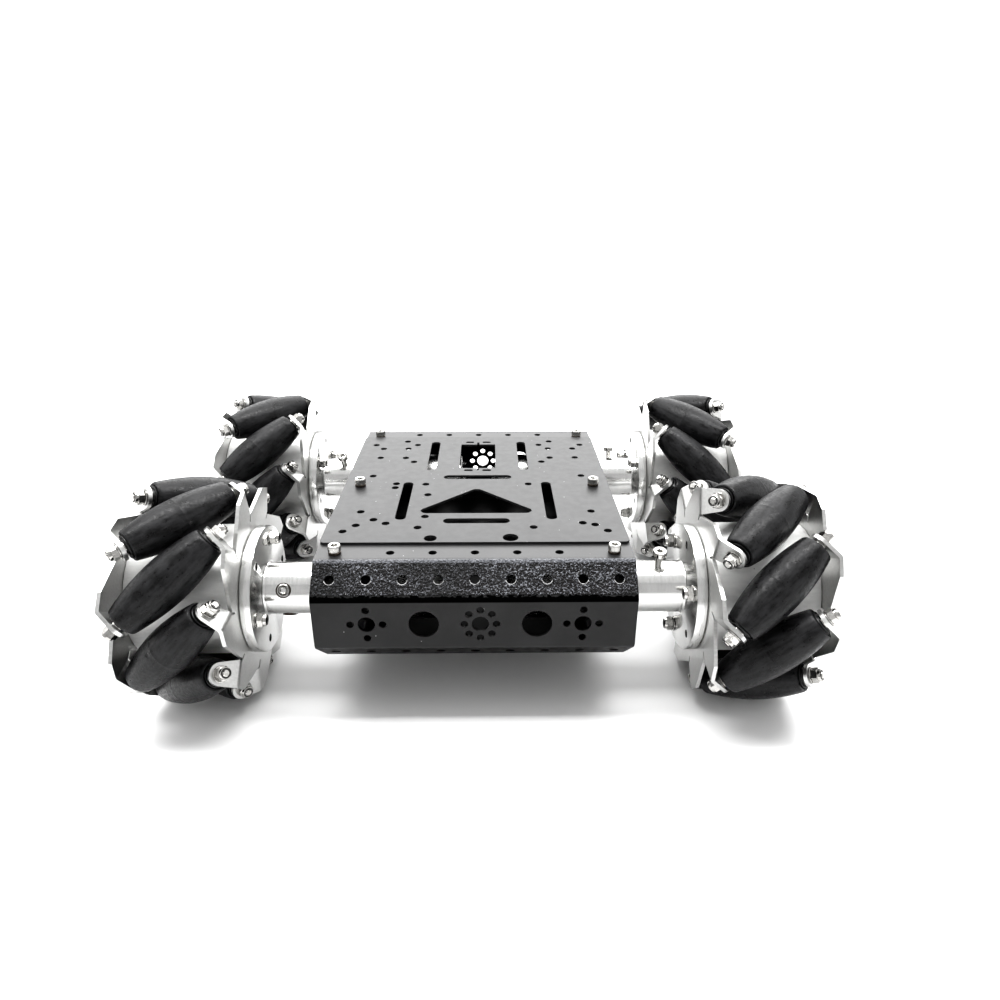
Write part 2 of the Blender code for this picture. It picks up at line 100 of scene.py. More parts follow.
# Holes of the bent ends, as in the CAD
LIP_HOLE_PITCH = 22.8
LIP_HOLE_INSET = 8.3
LIP_THROUGH_HOLES = ((-25.0, -82.3, 3.9), (19.6, -81.5, 4.7))
CHAMFER_HOLE_PITCH = 19.0
CHAMFER_HOLE_RADIUS = 2.6
CHAMFER_HOLE_Y = (BEND_Y + WALL_Y) / 2 - 0.7
UPPER_HOLE_Z = (LIP_Z + WALL_TOP_Z) / 2 - 0.7
LOWER_HOLE_Z = (BOTTOM_Z + WALL_LOW_Z) / 2 + 0.7
WALL_HOLE_Z = 62.8
WALL_PATTERNS = ((-57.0, 4), (57.0, 4), (2.9, 8))
WALL_PATTERN_RADIUS = 8.5
WALL_BIG_HOLES = (-26.9, 32.8)

# Way down the upper chamfer: how far out and how far down it goes for each millimetre
CHAMFER_LENGTH = math.hypot(WALL_Y - BEND_Y, LIP_Z - WALL_TOP_Z)
CHAMFER_OUT = (WALL_Y - BEND_Y) / CHAMFER_LENGTH
CHAMFER_FALL = (LIP_Z - WALL_TOP_Z) / CHAMFER_LENGTH

# Skins a little thicker than the CAD's sheets, so that neighbours meet
DECK_SKIN_SHEET = DECK_SHEET + 0.25
FLANGE_SKIN_END_X = FLANGE_END_X + 0.2

pieces = bpy.data.collections.new("pieces")
bpy.context.scene.collection.children.link(pieces)


# ------------------------------------------------------------------ materials
def add(tree, kind, inputs=None, **settings):
    """Adds a shader node, sets its properties and fills or links its inputs."""
    made = tree.nodes.new(kind)
    for key, value in settings.items():
        setattr(made, key, value)
    for key, value in (inputs or {}).items():
        if isinstance(value, bpy.types.NodeSocket):
            tree.links.new(value, made.inputs[key])
        else:
            made.inputs[key].default_value = value
    return made


def start(name, metallic, specular=0.5):
    mat = bpy.data.materials.new(name)
    mat.use_nodes = True
    tree = mat.node_tree
    shader = tree.nodes["Principled BSDF"]
    shader.inputs["Metallic"].default_value = metallic
    shader.inputs["Specular IOR Level"].default_value = specular
    return mat, tree, shader


def noise(tree, where, scale, detail=3.0, rough=0.55, stretch=None):
    if stretch:
        where = add(tree, "ShaderNodeMapping", {"Vector": where, "Scale": stretch}).outputs[0]
    inputs = {"Vector": where, "Scale": scale, "Detail": detail, "Roughness": rough}
    return add(tree, "ShaderNodeTexNoise", inputs).outputs[0]


def ranged(tree, value, from_low, from_high, low=0.0, high=1.0):
    inputs = {"Value": value, "From Min": from_low, "From Max": from_high, "To Min": low, "To Max": high}
    return add(tree, "ShaderNodeMapRange", inputs, interpolation_type="SMOOTHSTEP").outputs[0]


def blend(tree, factor, first, second):
    return add(tree, "ShaderNodeMix", {0: factor, 6: first, 7: second}, data_type="RGBA").outputs[2]


def mix_value(tree, factor, first, second):
    return add(tree, "ShaderNodeMix", {0: factor, 2: first, 3: second}).outputs[0]


def math_node(tree, operation, first, second=0.0):
    return add(tree, "ShaderNodeMath", {0: first, 1: second}, operation=operation).outputs[0]


def times(tree, first, second):
    return math_node(tree, "MULTIPLY", first, second)


def plus(tree, first, second):
    return math_node(tree, "ADD", first, second)


def rgb(value, tint=(1.0, 1.0, 1.0)):
    return tuple(value * t for t in tint) + (1.0,)


def bump(tree, height, strength, distance, normal=None):
    inputs = {"Height": height, "Strength": strength, "Distance": distance}
    if normal is not None:
        inputs["Normal"] = normal
    return add(tree, "ShaderNodeBump", inputs).outputs[0]


def own_coordinates(tree):
    """Object coordinates, shifted by a different amount on each object."""
    coords = add(tree, "ShaderNodeTexCoord").outputs["Object"]
    shift = add(tree, "ShaderNodeObjectInfo").outputs["Random"]
    shift = times(tree, shift, 3.7)
    return add(tree, "ShaderNodeVectorMath", {0: coords, 1: shift}, operation="ADD").outputs[0]


def specks(tree, where, scale, threshold):
    """Small sparse dots, 1 on a dot and 0 off it."""
    cells = add(tree, "ShaderNodeTexVoronoi", {"Vector": where, "Scale": scale, "Randomness": 1.0})
    near = ranged(tree, cells.outputs["Distance"], 0.16, 0.08)
    pick = add(tree, "ShaderNodeSeparateColor", {0: cells.outputs["Color"]}).outputs[0]
    chosen = ranged(tree, pick, threshold, threshold + 0.004)
    return times(tree, near, chosen)


def below(tree, value, limit, fade):
    """1 well below the limit, 0 above it."""
    return ranged(tree, value, limit - fade, limit, 1.0, 0.0)


def rising(tree, value, low, high):
    """0 below the low limit and 1 above the high one, both in millimetres."""
    return ranged(tree, value, low * MM, high * MM)


def product(tree, values):
    out = values[0]
    for value in values[1:]:
        out = times(tree, out, value)
    return out


def connect(tree, shader, colour, rough, normal):
    tree.links.new(colour, shader.inputs["Base Color"])
    tree.links.new(rough, shader.inputs["Roughness"])
    tree.links.new(normal, shader.inputs["Normal"])


def powder_coat(tree, where, albedo, roughness):
    """Colour, roughness and normal of a powder coat with fine orange peel and dust."""
    cool = (1.0, 1.0, 1.03)
    tone = ranged(tree, noise(tree, where, 45.0, 4.0), 0.35, 0.68)
    colour = blend(tree, tone, rgb(albedo[0], cool), rgb(albedo[1], cool))
    colour = blend(tree, specks(tree, where, 420.0, 0.965), colour, rgb(0.30))
    normal = bump(tree, noise(tree, where, 1500.0, 2.0), 0.32, 0.00006)
    rough = ranged(tree, noise(tree, where, 180.0, 3.0), 0.3, 0.7, *roughness)
    return colour, rough, normal


def deck_paint_material():
    mat, tree, shader = start("deck_paint", 0.0)
    where = add(tree, "ShaderNodeTexCoord").outputs["Object"]
    connect(tree, shader, *powder_coat(tree, where, (0.009, 0.013), (0.41, 0.46)))
    return mat


def painted_glint_crests(tree, where, height, crest, ripple):
    """Painted glints: thin worm-like crests, sparser in patches, and a painted highlight line along the upper
    bend.
    """
    ridge = math_node(tree, "ABSOLUTE", math_node(tree, "SUBTRACT", crest, 0.5))
    worm = below(tree, ridge, 0.050, 0.035)
    broken = ranged(tree, noise(tree, where, 900.0, 2.0), 0.38, 0.58)
    patchy = ranged(tree, noise(tree, where, 22.0, 2.0), 0.36, 0.60, 0.35, 1.0)
    # Painted highlight: a light line along the top of the upper bend, just under the lip
    crown = rising(tree, height, LIP_Z - 1.3, LIP_Z - 0.8)
    crown = times(tree, crown, ranged(tree, ripple, 0.35, 0.6, 0.2, 0.6))
    return math_node(tree, "MAXIMUM", product(tree, [worm, broken, patchy]), crown)


def painted_rim_highlight(tree, x, out, height):
    """1 on the lower rims of the round holes in the upper bent ends, where a light rim is painted as a
    painted highlight.
    """
    across = math_node(tree, "PINGPONG", x, CHAMFER_HOLE_PITCH / 2 * MM)
    out_part = times(tree, out, CHAMFER_OUT)
    down_part = times(tree, height, CHAMFER_FALL)
    row = (CHAMFER_HOLE_Y * CHAMFER_OUT - UPPER_HOLE_Z * CHAMFER_FALL) * MM
    down = math_node(tree, "SUBTRACT", math_node(tree, "SUBTRACT", out_part, down_part), row)
    squares = [math_node(tree, "POWER", length, 2.0) for length in (across, down)]
    from_hole = math_node(tree, "SQRT", plus(tree, *squares))
    rim = below(tree, from_hole, (CHAMFER_HOLE_RADIUS + 0.32) * MM, 0.00008)
    return times(tree, rim, rising(tree, down, 0.2, 0.9))


def shaded_inner_side(tree, out, height):
    """1 inside the folded sheet, where painted shade goes, 0 on its outer side."""
    rise = times(tree, height, CHAMFER_OUT)
    run = times(tree, out, CHAMFER_FALL)
    upper = BEND_Y * CHAMFER_FALL + LIP_Z * CHAMFER_OUT - SHEET / 2
    lower = BEND_Y * CHAMFER_FALL - BOTTOM_Z * CHAMFER_OUT - SHEET / 2
    fade = 0.0004
    return product(
        tree,
        [
            below(tree, out, (WALL_Y - SHEET / 2) * MM, fade),
            below(tree, height, (LIP_Z - SHEET / 2) * MM, fade),
            rising(tree, height, BOTTOM_Z + 0.8, BOTTOM_Z + 1.2),
            below(tree, plus(tree, run, rise), upper * MM, fade),
            below(tree, math_node(tree, "SUBTRACT", run, rise), lower * MM, fade),
        ],
    )


def shell_paint_material():
    """Powder coat with a hammered finish on the upper bent ends, which fades out at the bends; its colour
    carries painted glints, a painted highlight line along the upper bend and painted highlights on the lower
    rims of its holes. Each bend into the wall is painted black as painted shade, so is the lower chamfer, the
    inside is painted nearly black and dull as painted shade, and the top of the lip is lightened a little as
    a painted sheen."""
    mat, tree, shader = start("chassis_paint", 0.0)
    where = add(tree, "ShaderNodeTexCoord").outputs["Object"]
    colour, rough, normal = powder_coat(tree, where, (0.004, 0.009), (0.28, 0.38))
    spot = add(tree, "ShaderNodeSeparateXYZ", {0: where})
    out = math_node(tree, "ABSOLUTE", spot.outputs[1])
    height = spot.outputs[2]
    at_end = rising(tree, out, BEND_Y - 1.9, BEND_Y - 0.9)
    hammered = times(tree, at_end, rising(tree, height, WALL_TOP_Z + 1.0, WALL_TOP_Z + 1.8))

    inputs = {"Vector": where, "Scale": 760.0, "Smoothness": 0.4}
    cells = add(tree, "ShaderNodeTexVoronoi", inputs, feature="SMOOTH_F1")
    ripple = noise(tree, where, 980.0, 2.0, 0.6)
    wrinkle = plus(tree, cells.outputs["Distance"], ripple)
    normal = bump(tree, times(tree, wrinkle, hammered), 1.0, 0.0014, normal)
    rough = mix_value(tree, hammered, rough, 0.13)
    crest = noise(tree, where, 520.0, 1.0, 0.5, (1.0, 1.0, 1.5))
    # The hammered colour carries painted glints on its crests and a painted highlight line along the upper
    # bend
    worm = painted_glint_crests(tree, where, height, crest, ripple)
    colour = blend(tree, times(tree, worm, hammered), colour, rgb(0.19, (0.95, 0.98, 1.08)))
    # Light lower rims of the chamfer holes: a painted highlight
    rim = times(tree, painted_rim_highlight(tree, spot.outputs[0], out, height), hammered)
    colour = blend(tree, rim, colour, rgb(0.45))

    ragged = plus(tree, height, ranged(tree, crest, 0.3, 0.7, -0.0005, 0.0005))
    under = below(tree, ragged, (WALL_TOP_Z + 1.2) * MM, 0.0004)
    # A black band round each bend into the wall: painted shade
    bend = product(tree, [at_end, under, rising(tree, height, WALL_TOP_Z - 2.4, WALL_TOP_Z - 2.0)])
    # The lower chamfer goes dark too: painted shade
    shaded_foot = times(tree, at_end, below(tree, height, (WALL_LOW_Z - 0.6) * MM, 0.0006))
    dark = math_node(tree, "MAXIMUM", bend, times(tree, shaded_foot, 0.8))
    inside = shaded_inner_side(tree, out, height)
    lip = rising(tree, height, LIP_Z - 0.3, LIP_Z - 0.1)
    # Painted shade: the bend band and the lower chamfer go nearly black, with no reflection
    colour = blend(tree, dark, colour, rgb(0.0008))
    # Painted shade: the inside of the folded sheet goes nearly black
    colour = blend(tree, inside, colour, rgb(0.0015))
    # The top of the lip is lightened a little: a painted sheen
    colour = blend(tree, times(tree, lip, 0.04), colour, rgb(0.2))
    rough = mix_value(tree, lip, rough, 0.40)
    gloss = mix_value(tree, hammered, 0.23, 0.12)
    for mask, level in ((dark, 0.0), (lip, 0.5), (inside, 0.03)):
        gloss = mix_value(tree, mask, gloss, level)
    tree.links.new(gloss, shader.inputs["Specular IOR Level"])
    connect(tree, shader, colour, rough, normal)
    return mat


def metal_material(name, albedo, roughness, grain_scale, stretch, grain_depth, tint=(1.0, 1.0, 0.985)):
    """Bare metal: broad clouds in the tone, and a fine grain along the machining."""
    mat, tree, shader = start(name, 1.0)
    where = own_coordinates(tree)
    clouds = noise(tree, where, 38.0, 5.0, 0.6)
    grain = noise(tree, where, grain_scale, 3.0, 0.6, stretch)
    tone = times(tree, plus(tree, clouds, grain), 0.5)
    dark, light = albedo
    colour = blend(tree, ranged(tree, tone, 0.35, 0.66), rgb(dark, tint), rgb(light, tint))
    scuffs = times(tree, specks(tree, where, 300.0, 0.965), 0.5)
    colour = blend(tree, scuffs, colour, rgb(dark * 0.45))
    rough = ranged(tree, tone, 0.32, 0.7, *roughness)
    connect(tree, shader, colour, rough, bump(tree, grain, 0.35, grain_depth))
    return mat


def rubber_material(name, albedo, roughness, specular):
    """Moulded rubber: dull bloom in patches, fine grain along the length, nicks and dust."""
    mat, tree, shader = start(name, 0.0, specular)
    where = own_coordinates(tree)
    patches = noise(tree, where, 75.0, 6.0, 0.7)
    streaks = noise(tree, where, 420.0, 3.0, 0.6, (1.0, 1.0, 0.22))
    tone = times(tree, plus(tree, patches, streaks), 0.5)
    bloom = ranged(tree, tone, 0.38, 0.62)
    colour = blend(tree, bloom, rgb(albedo[0], (1, 1, 1.04)), rgb(albedo[1], (1, 1, 1.06)))
    colour = blend(tree, specks(tree, where, 130.0, 0.985), colour, rgb(0.2))
    grain = noise(tree, where, 640.0, 2.0, 0.6)
    dull = times(tree, plus(tree, tone, grain), 0.5)
    fine = bump(tree, grain, 0.55, 0.00022)
    fine = bump(tree, noise(tree, where, 260.0, 3.0, 0.6), 0.3, 0.00022, fine)
    nicks = times(tree, specks(tree, where, 95.0, 0.97), -1.0)
    rough = ranged(tree, dull, 0.38, 0.62, *roughness)
    connect(tree, shader, colour, rough, bump(tree, nicks, 0.5, 0.0004, fine))
    return mat


PAINT = shell_paint_material()
DECK = deck_paint_material()
RUBBER = rubber_material("moulded_rubber", (0.002, 0.015), (0.26, 0.52), 0.18)
CORE = rubber_material("roller_core", (0.002, 0.005), (0.28, 0.42), 0.35)
PLATE = metal_material("satin_plate", (0.46, 0.57), (0.28, 0.40), 900.0, (0.3, 1.0, 1.0), 0.00002)
# Outer faces of the outer plates: a brushed grain, and a darker tone that is painted shade against the lamps
PLATE_FACE_SHADED = metal_material("brushed_plate_face_painted_shade", (0.20, 0.27), (0.32, 0.44), 900.0, (1.0, 1.0, 0.15), 0.00002)
DRUM = metal_material("rolled_drum", (0.80, 0.90), (0.60, 0.70), 500.0, (1.0, 1.0, 0.35), 0.000015)
TURNED = metal_material("turned_aluminium", (0.52, 0.60), (0.15, 0.22), 1400.0, (0.12, 0.12, 1.0), 0.000006)
CHANNEL = metal_material("channel_aluminium", (0.54, 0.64), (0.30, 0.42), 800.0, (1.0, 0.12, 1.0), 0.00003)
CHANNEL_SHADED = metal_material("channel_painted_shade", (0.14, 0.22), (0.36, 0.5), 800.0, (1.0, 0.12, 1.0), 0.00003)
CAN = metal_material("motor_can", (0.56, 0.68), (0.22, 0.32), 900.0, (1.0, 1.0, 0.2), 0.00003)
GEARBOX = metal_material("gearbox_case", (0.05, 0.09), (0.34, 0.5), 900.0, (1.0, 1.0, 0.3), 0.00004)
STEEL_GRAIN = (1200.0, (1.0, 1.0, 0.6))
NICKEL = metal_material("nickel_steel", (0.34, 0.52), (0.08, 0.17), *STEEL_GRAIN, 0.00002, (1.0, 0.985, 0.95))
OXIDE = metal_material("black_oxide", (0.05, 0.10), (0.28, 0.42), *STEEL_GRAIN, 0.00003, (1.0, 0.86, 0.74))


def nylon_material():
    mat, tree, shader = start("nylon_insert", 0.0)
    where = own_coordinates(tree)
    tone = ranged(tree, noise(tree, where, 500.0, 3.0), 0.35, 0.65)
    tree.links.new(blend(tree, tone, rgb(0.003), rgb(0.010)), shader.inputs["Base Color"])
    rough = ranged(tree, noise(tree, where, 900.0), 0.3, 0.7, 0.3, 0.5)
    tree.links.new(rough, shader.inputs["Roughness"])
    return mat


NYLON = nylon_material()


# ------------------------------------------------------------------ mesh helpers
def moved(x, y, z):
    return Matrix.Translation((x * MM, y * MM, z * MM))


def turned_about(axis, angle):
    return Matrix.Rotation(angle, 4, axis)


def polar(radius, angle, cx=0.0, cy=0.0):
    return (cx + radius * math.cos(angle), cy + radius * math.sin(angle))


def placed(name, data):
    obj = bpy.data.objects.new(name, data)
    bpy.context.scene.collection.objects.link(obj)
    return obj


def turned(bm, rings, segments=64, matrix=None, material=0):
    """Adds a closed turned shape from rings of (radius, height), each a number or a function of the angle."""
    matrix = matrix or Matrix()
    loops = []
    for radius, height in rings:
        if not callable(radius) and radius < 1e-6:
            loops.append([bm.verts.new(matrix @ Vector((0, 0, height * MM)))])
            continue
        loop = []
        for i in range(segments):
            a = 2 * math.pi * i / segments
            r = (radius(a) if callable(radius) else radius) * MM
            z = (height(a) if callable(height) else height) * MM
            loop.append(bm.verts.new(matrix @ Vector((r * math.cos(a), r * math.sin(a), z))))
        loops.append(loop)
    for low, high in zip(loops, loops[1:]):
        for i in range(segments):
            j = (i + 1) % segments
            corners = [low[i % len(low)], low[j % len(low)], high[j % len(high)], high[i % len(high)]]
            corners = list(dict.fromkeys(corners))
            if len(corners) > 2:
                bm.faces.new(corners).material_index = material


def ring_solid(bm, rings, segments=64, matrix=None, material=0):
    """Adds a turned shape whose section is a closed outline away from the axis."""
    turned(bm, list(rings) + [rings[0]], segments, matrix, material)
    bmesh.ops.remove_doubles(bm, verts=bm.verts, dist=1e-7)


def rod(bm, radius, low, high, segments=20, matrix=None, material=0):
    turned(bm, [(0, low), (radius, low), (radius, high), (0, high)], segments, matrix, material)


def sleeve(bm, inner, outer, low, high, segments, matrix, material=0):
    ring_solid(bm, [(inner, low), (outer, low), (outer, high), (inner, high)], segments, matrix, material)


def finish_mesh(bm, name):
    bmesh.ops.recalc_face_normals(bm, faces=bm.faces)
    mesh = bpy.data.meshes.new(name)
    bm.to_mesh(mesh)
    bm.free()
    return mesh


def hexagon(flats):
    """Radius of a hexagon, of that size across its flats, at an angle."""
    def radius(a):
        inside = (a + math.pi / 6) % (math.pi / 3) - math.pi / 6
        return flats / 2 / math.cos(inside)
    return radius


def hex_prism(bm, flats, low, high, bore, matrix, material=0, segments=36):
    """A nut body with both ends turned to a chamfer, and a bore."""
    shape = hexagon(flats)
    rim = flats / 2 * 0.985
    fall = math.tan(math.radians(30))
    rings = [
        (bore, low),
        (lambda a: min(shape(a), rim), low),
        (shape, lambda a: low + max(0.0, shape(a) - rim) * fall),
        (shape, lambda a: high - max(0.0, shape(a) - rim) * fall),
        (lambda a: min(shape(a), rim), high),
        (bore, high),
    ]
    ring_solid(bm, rings, segments, matrix, material)


def lock_nut(bm, flats, base, bolt, matrix, reach=5.5, shaded_end_material=0):
    """Nylon insert nut on a washer, with the end of its bolt: heights go up from the base."""
    disc = flats * 0.64
    washer = [
        (bolt, base), (flats * 0.6, base), (disc, base + 0.15),
        (disc, base + 0.5), (flats * 0.61, base + 0.65), (bolt, base + 0.65),
    ]
    ring_solid(bm, washer, 36, matrix)
    nut = base + 0.7
    hex_prism(bm, flats, nut, nut + 3.3, bolt, matrix)
    crown = nut + 3.2
    rim = flats * 0.46
    collar = [
        (bolt + 0.8, crown), (rim, crown), (rim, crown + 1.2),
        (rim - 0.25, crown + 1.6), (rim - 0.5, crown + 1.65), (bolt + 0.8, crown + 1.4),
    ]
    ring_solid(bm, collar, 36, matrix)
    inner, outer = bolt - 0.05, bolt + 0.85
    insert = [(inner, crown), (outer, crown), (outer, crown + 1.3), (inner, crown + 1.2)]
    ring_solid(bm, insert, 24, matrix, 1)
    end = nut + reach
    shank = [(0, nut - 1.0), (bolt - 0.1, nut - 1.0), (bolt - 0.1, end - 0.5), (bolt - 0.55, end), (0, end)]
    # With an end material of 1 the bolt's end is dark nylon: painted shade inside the nut
    turned(bm, shank, 24, matrix, shaded_end_material)


def cap_head(bm, head, height, base, socket, matrix, material=0, knurl=0.1, segments=72):
    """Socket cap head: knurled side, chamfered top and a hexagonal recess."""
    recess = hexagon(socket)

    def ridged(a):
        return head / 2 - knurl * (0.5 + 0.5 * math.cos(36 * a))

    side, top = head / 2, base + height
    rings = [
        (0, base), (side - 0.35, base), (side - 0.05, base + 0.25), (ridged, base + 0.4),
        (ridged, top - 0.55), (side - 0.1, top - 0.45), (side - 0.45, top), (socket * 0.64, top),
        (recess, top - 0.25), (recess, top - height * 0.55), (0, top - height * 0.68),
    ]
    turned(bm, rings, segments, matrix, material)


def threaded(bm, radius, low, high, pitch, matrix, material=0):
    """A screw shank as a stack of fine ridges."""
    rings = [(0, low), (radius - 0.25, low)]
    count = max(1, int((high - low) / pitch))
    for k in range(count):
        z = low + k * pitch
        rings.append((radius, z + pitch * 0.5))
        rings.append((radius - 0.28, z + pitch))
    rings.append((0, low + count * pitch))
    turned(bm, rings, 20, matrix, material)


def show(name, mesh, materials, body, replaced=(), matrix=None, sharp=32, bevel=0.0):
    """Makes the piece from its mesh, in place, and hands it to the frame."""
    if not mesh.materials:
        for mat in materials:
            mesh.materials.append(mat)
        for polygon in mesh.polygons:
            polygon.use_smooth = True
        if not bevel:
            mesh.set_sharp_from_angle(angle=math.radians(sharp))
    obj = bpy.data.objects.new(name, mesh)
    pieces.objects.link(obj)
    if matrix is not None:
        obj.matrix_world = matrix
    if bevel:
        soft = obj.modifiers.new("edges", "BEVEL")
        soft.width = bevel * MM
        soft.segments = 2
        soft.limit_method = "ANGLE"
        soft.angle_limit = math.radians(40)
        soft.harden_normals = True
        soft.use_clamp_overlap = True
    bpy.context.view_layer.update()
    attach(obj, body)
    if replaced:
        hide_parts(*replaced)
    return obj


def circle(cx, cy, radius, count=32):
    return [polar(radius, 2 * math.pi * i / count, cx, cy) for i in range(count)]


def slot_outline(x0, y0, x1, y1, half, steps=12):
    along = math.atan2(y1 - y0, x1 - x0)
    points = []
    for cx, cy, begin in ((x1, y1, along - math.pi / 2), (x0, y0, along + math.pi / 2)):
        for i in range(steps + 1):
            points.append(polar(half, begin + math.pi * i / steps, cx, cy))
    return points


def rounded(points, radii, steps=6, closed=True):
    """The outline with each corner turned into an arc. Radii is one number, or one for each corner."""
    out = []
    count = len(points)
    for i in range(count):
        radius = radii if isinstance(radii, (int, float)) else radii[i]
        here = Vector(points[i])
        if radius <= 0 or (not closed and i in (0, count - 1)):
            out.append(tuple(here))
            continue
        before = (Vector(points[i - 1]) - here).normalized()
        after = (Vector(points[(i + 1) % count]) - here).normalized()
        half = before.angle(after) / 2
        centre = here + (before + after).normalized() * (radius / math.sin(half))
        reach = radius / math.tan(half)
        start_arm = here + before * reach - centre
        end_arm = here + after * reach - centre
        for k in range(steps + 1):
            arm = start_arm.lerp(end_arm, k / steps).normalized() * radius
            out.append(tuple(centre + arm))
    return out


def filled(name, outlines, thickness):
    """A flat mesh, in metres, from outlines in millimetres: the first is the edge, the others are holes."""
    curve = bpy.data.curves.new(name, "CURVE")
    curve.dimensions = "2D"
    curve.fill_mode = "BOTH"
    curve.extrude = thickness / 2 * MM
    for outline in outlines:
        spline = curve.splines.new("POLY")
        spline.points.add(len(outline) - 1)
        for point, (x, y) in zip(spline.points, outline):
            point.co = (x * MM, y * MM, 0.0, 1.0)
        spline.use_cyclic_u = True
    helper = placed(name, curve)
    mesh = applied(helper, name)
    bpy.data.curves.remove(curve)
    return mesh


def applied(helper, name):
    """The helper's mesh with its modifiers applied. The helper is removed."""
    bpy.context.view_layer.update()
    graph = bpy.context.evaluated_depsgraph_get()
    mesh = bpy.data.meshes.new_from_object(helper.evaluated_get(graph), depsgraph=graph)
    mesh.name = name
    bm = bmesh.new()
    bm.from_mesh(mesh)
    bmesh.ops.remove_doubles(bm, verts=bm.verts, dist=2e-6)
    bm.to_mesh(mesh)
    bm.free()
    bpy.data.objects.remove(helper, do_unlink=True)
    return mesh


def bored(mesh, name, items, sides=32, shape=None):
    """The mesh with round holes cut through it. Each item is a hole's centre, direction, radius and length
    in millimetres. Shape adds more cutters."""
    bm = bmesh.new()
    for centre, direction, radius, length in items:
        turn = Vector((0, 0, 1)).rotation_difference(Vector(direction)).to_matrix().to_4x4()
        place = Matrix.Translation(Vector(centre) * MM) @ turn
        rod(bm, radius, -length / 2, length / 2, sides, place)
    if shape:
        shape(bm)
    cutter = placed(name + "_cutter", finish_mesh(bm, name + "_cutter"))
    blank = placed(name, mesh)
    boolean = blank.modifiers.new("holes", "BOOLEAN")
    boolean.object = cutter
    boolean.solver = "EXACT"
    cut = applied(blank, name)
    bpy.data.objects.remove(cutter, do_unlink=True)
    return cut


# ------------------------------------------------------------------ chassis shell
REAR_LINE = [
    (BEND_Y, BOTTOM_Z), (WALL_Y, WALL_LOW_Z), (WALL_Y, WALL_TOP_Z), (BEND_Y, LIP_Z), (LIP_END_Y, LIP_Z),
]
SHEET_LINE = [(-y, z) for y, z in REAR_LINE[::-1]] + REAR_LINE


def inset(line, distance):
    out = []
    for i, point in enumerate(line):
        here = Vector(point)
        normals = []
        for a, b in ((i - 1, i), (i, i + 1)):
            if a >= 0 and b < len(line):
                along = (Vector(line[b]) - Vector(line[a])).normalized()
                normals.append(Vector((-along.y, along.x)))
        normal = sum(normals, Vector((0, 0))).normalized()
        out.append(tuple(here + normal * distance / normal.dot(normals[0])))
    return out


def corner_clips(bm):
    """Wedges that clip the four lower corners of the end walls."""
    for side in (-1, 1):
        for end in (-1, 1):
            corners = [
                (HALF_WIDTH + 2, WALL_Y + 3, WALL_LOW_Z + 1.0),
                (HALF_WIDTH + 0.02, WALL_Y + 3, WALL_LOW_Z - 0.5),
                (HALF_WIDTH - 3.0, BEND_Y - 0.2, BOTTOM_Z - 3),
                (HALF_WIDTH + 2, BEND_Y - 3.2, BOTTOM_Z - 3),
            ]
            top = [bm.verts.new((side * x * MM, end * y * MM, z * MM)) for x, y, z in corners]
            up = [bm.verts.new((side * x * MM, end * (y - 6) * MM, (z + 5.6) * MM)) for x, y, z in corners]
            bm.faces.new(top)
            bm.faces.new(up[::-1])
            for i in range(4):
                j = (i + 1) % 4
                bm.faces.new((top[i], up[i], up[j], top[j]))


def shell_holes():
    holes = []
    for end in (-1, 1):
        wall_y = end * (WALL_Y - SHEET / 2)
        for x, count in WALL_PATTERNS:
            holes.append(((x, wall_y, WALL_HOLE_Z), (0, 1, 0), 4.55, 6))
            for i in range(count):
                hole_x, hole_z = polar(WALL_PATTERN_RADIUS, 2 * math.pi * i / count, x, WALL_HOLE_Z)
                holes.append(((hole_x, wall_y, hole_z), (0, 1, 0), 2.0, 6))
        for x in WALL_BIG_HOLES:
            holes.append(((x, wall_y, WALL_HOLE_Z), (0, 1, 0), 8.0, 6))
        for k in range(-2, 3):
            spot = (k * LIP_HOLE_PITCH, end * (BEND_Y - LIP_HOLE_INSET), LIP_Z - SHEET / 2)
            holes.append((spot, (0, 0, 1), 2.3, 6))
        middle_y = end * CHAMFER_HOLE_Y
        for k in range(-4, 5):
            x = k * CHAMFER_HOLE_PITCH
            holes.append(((x, middle_y, UPPER_HOLE_Z), (0, end, 1), CHAMFER_HOLE_RADIUS, 6))
            holes.append(((x, middle_y, LOWER_HOLE_Z), (0, end, -1), CHAMFER_HOLE_RADIUS, 6))
    # Two larger front holes go on down through the lip under the deck
    for x, y, radius in LIP_THROUGH_HOLES:
        holes.append(((x, y, LIP_Z - SHEET / 2), (0, 0, 1), radius, 6))
    return holes


def make_shell():
    outer = rounded(SHEET_LINE, 3.0, steps=6, closed=False)
    inner = rounded(inset(SHEET_LINE, SHEET), 1.2, steps=4, closed=False)
    mesh = filled("chassis_shell_blank", [outer + inner[::-1]], 2 * HALF_WIDTH)
    mesh.transform(Matrix(((0, 0, 1, 0), (1, 0, 0, 0), (0, 1, 0, 0), (0, 0, 0, 1))))
    mesh = bored(mesh, "chassis_shell_skin", shell_holes(), 36, corner_clips)
    show("chassis_shell_skin", mesh, [PAINT], "chassis", ["chassis_shell"], bevel=0.28)


make_shell()


# ------------------------------------------------------------------ deck plate
PAIRED_HOLES = (
    (75.3, 69.1), (69.0, 61.1), (68.9, 42.8), (52.9, 76.6), (44.8, 69.1), (51.0, 61.2),
    (51.0, 42.5), (44.6, 34.7), (69.4, 8.8), (33.3, -5.3), (68.9, -47.2), (68.9, -65.5),
    (75.1, -73.2), (33.2, -68.5),
)
SINGLE_HOLES = (
    (-52.4, -4.4), (-52.5, -10.9), (-30.7, -22.2), (-59.8, -58.1), (-52.1, -63.1), (-30.1, -54.0),
    (62.1, -63.1),
)
FRONT_HOLES = ((-25.0, -82.0, 3.6), (19.6, -81.4, 4.4))
DECK_SLOTS = (
    (-31.4, 22.2, -31.4, 72.3), (31.6, 22.2, 31.6, 72.3), (-44.5, -55.0, -44.5, -5.3),
    (44.7, -55.0, 44.7, -5.3), (-19.0, 6.6, 19.5, 6.6), (-15.9, -60.0, 16.6, -60.0),
)


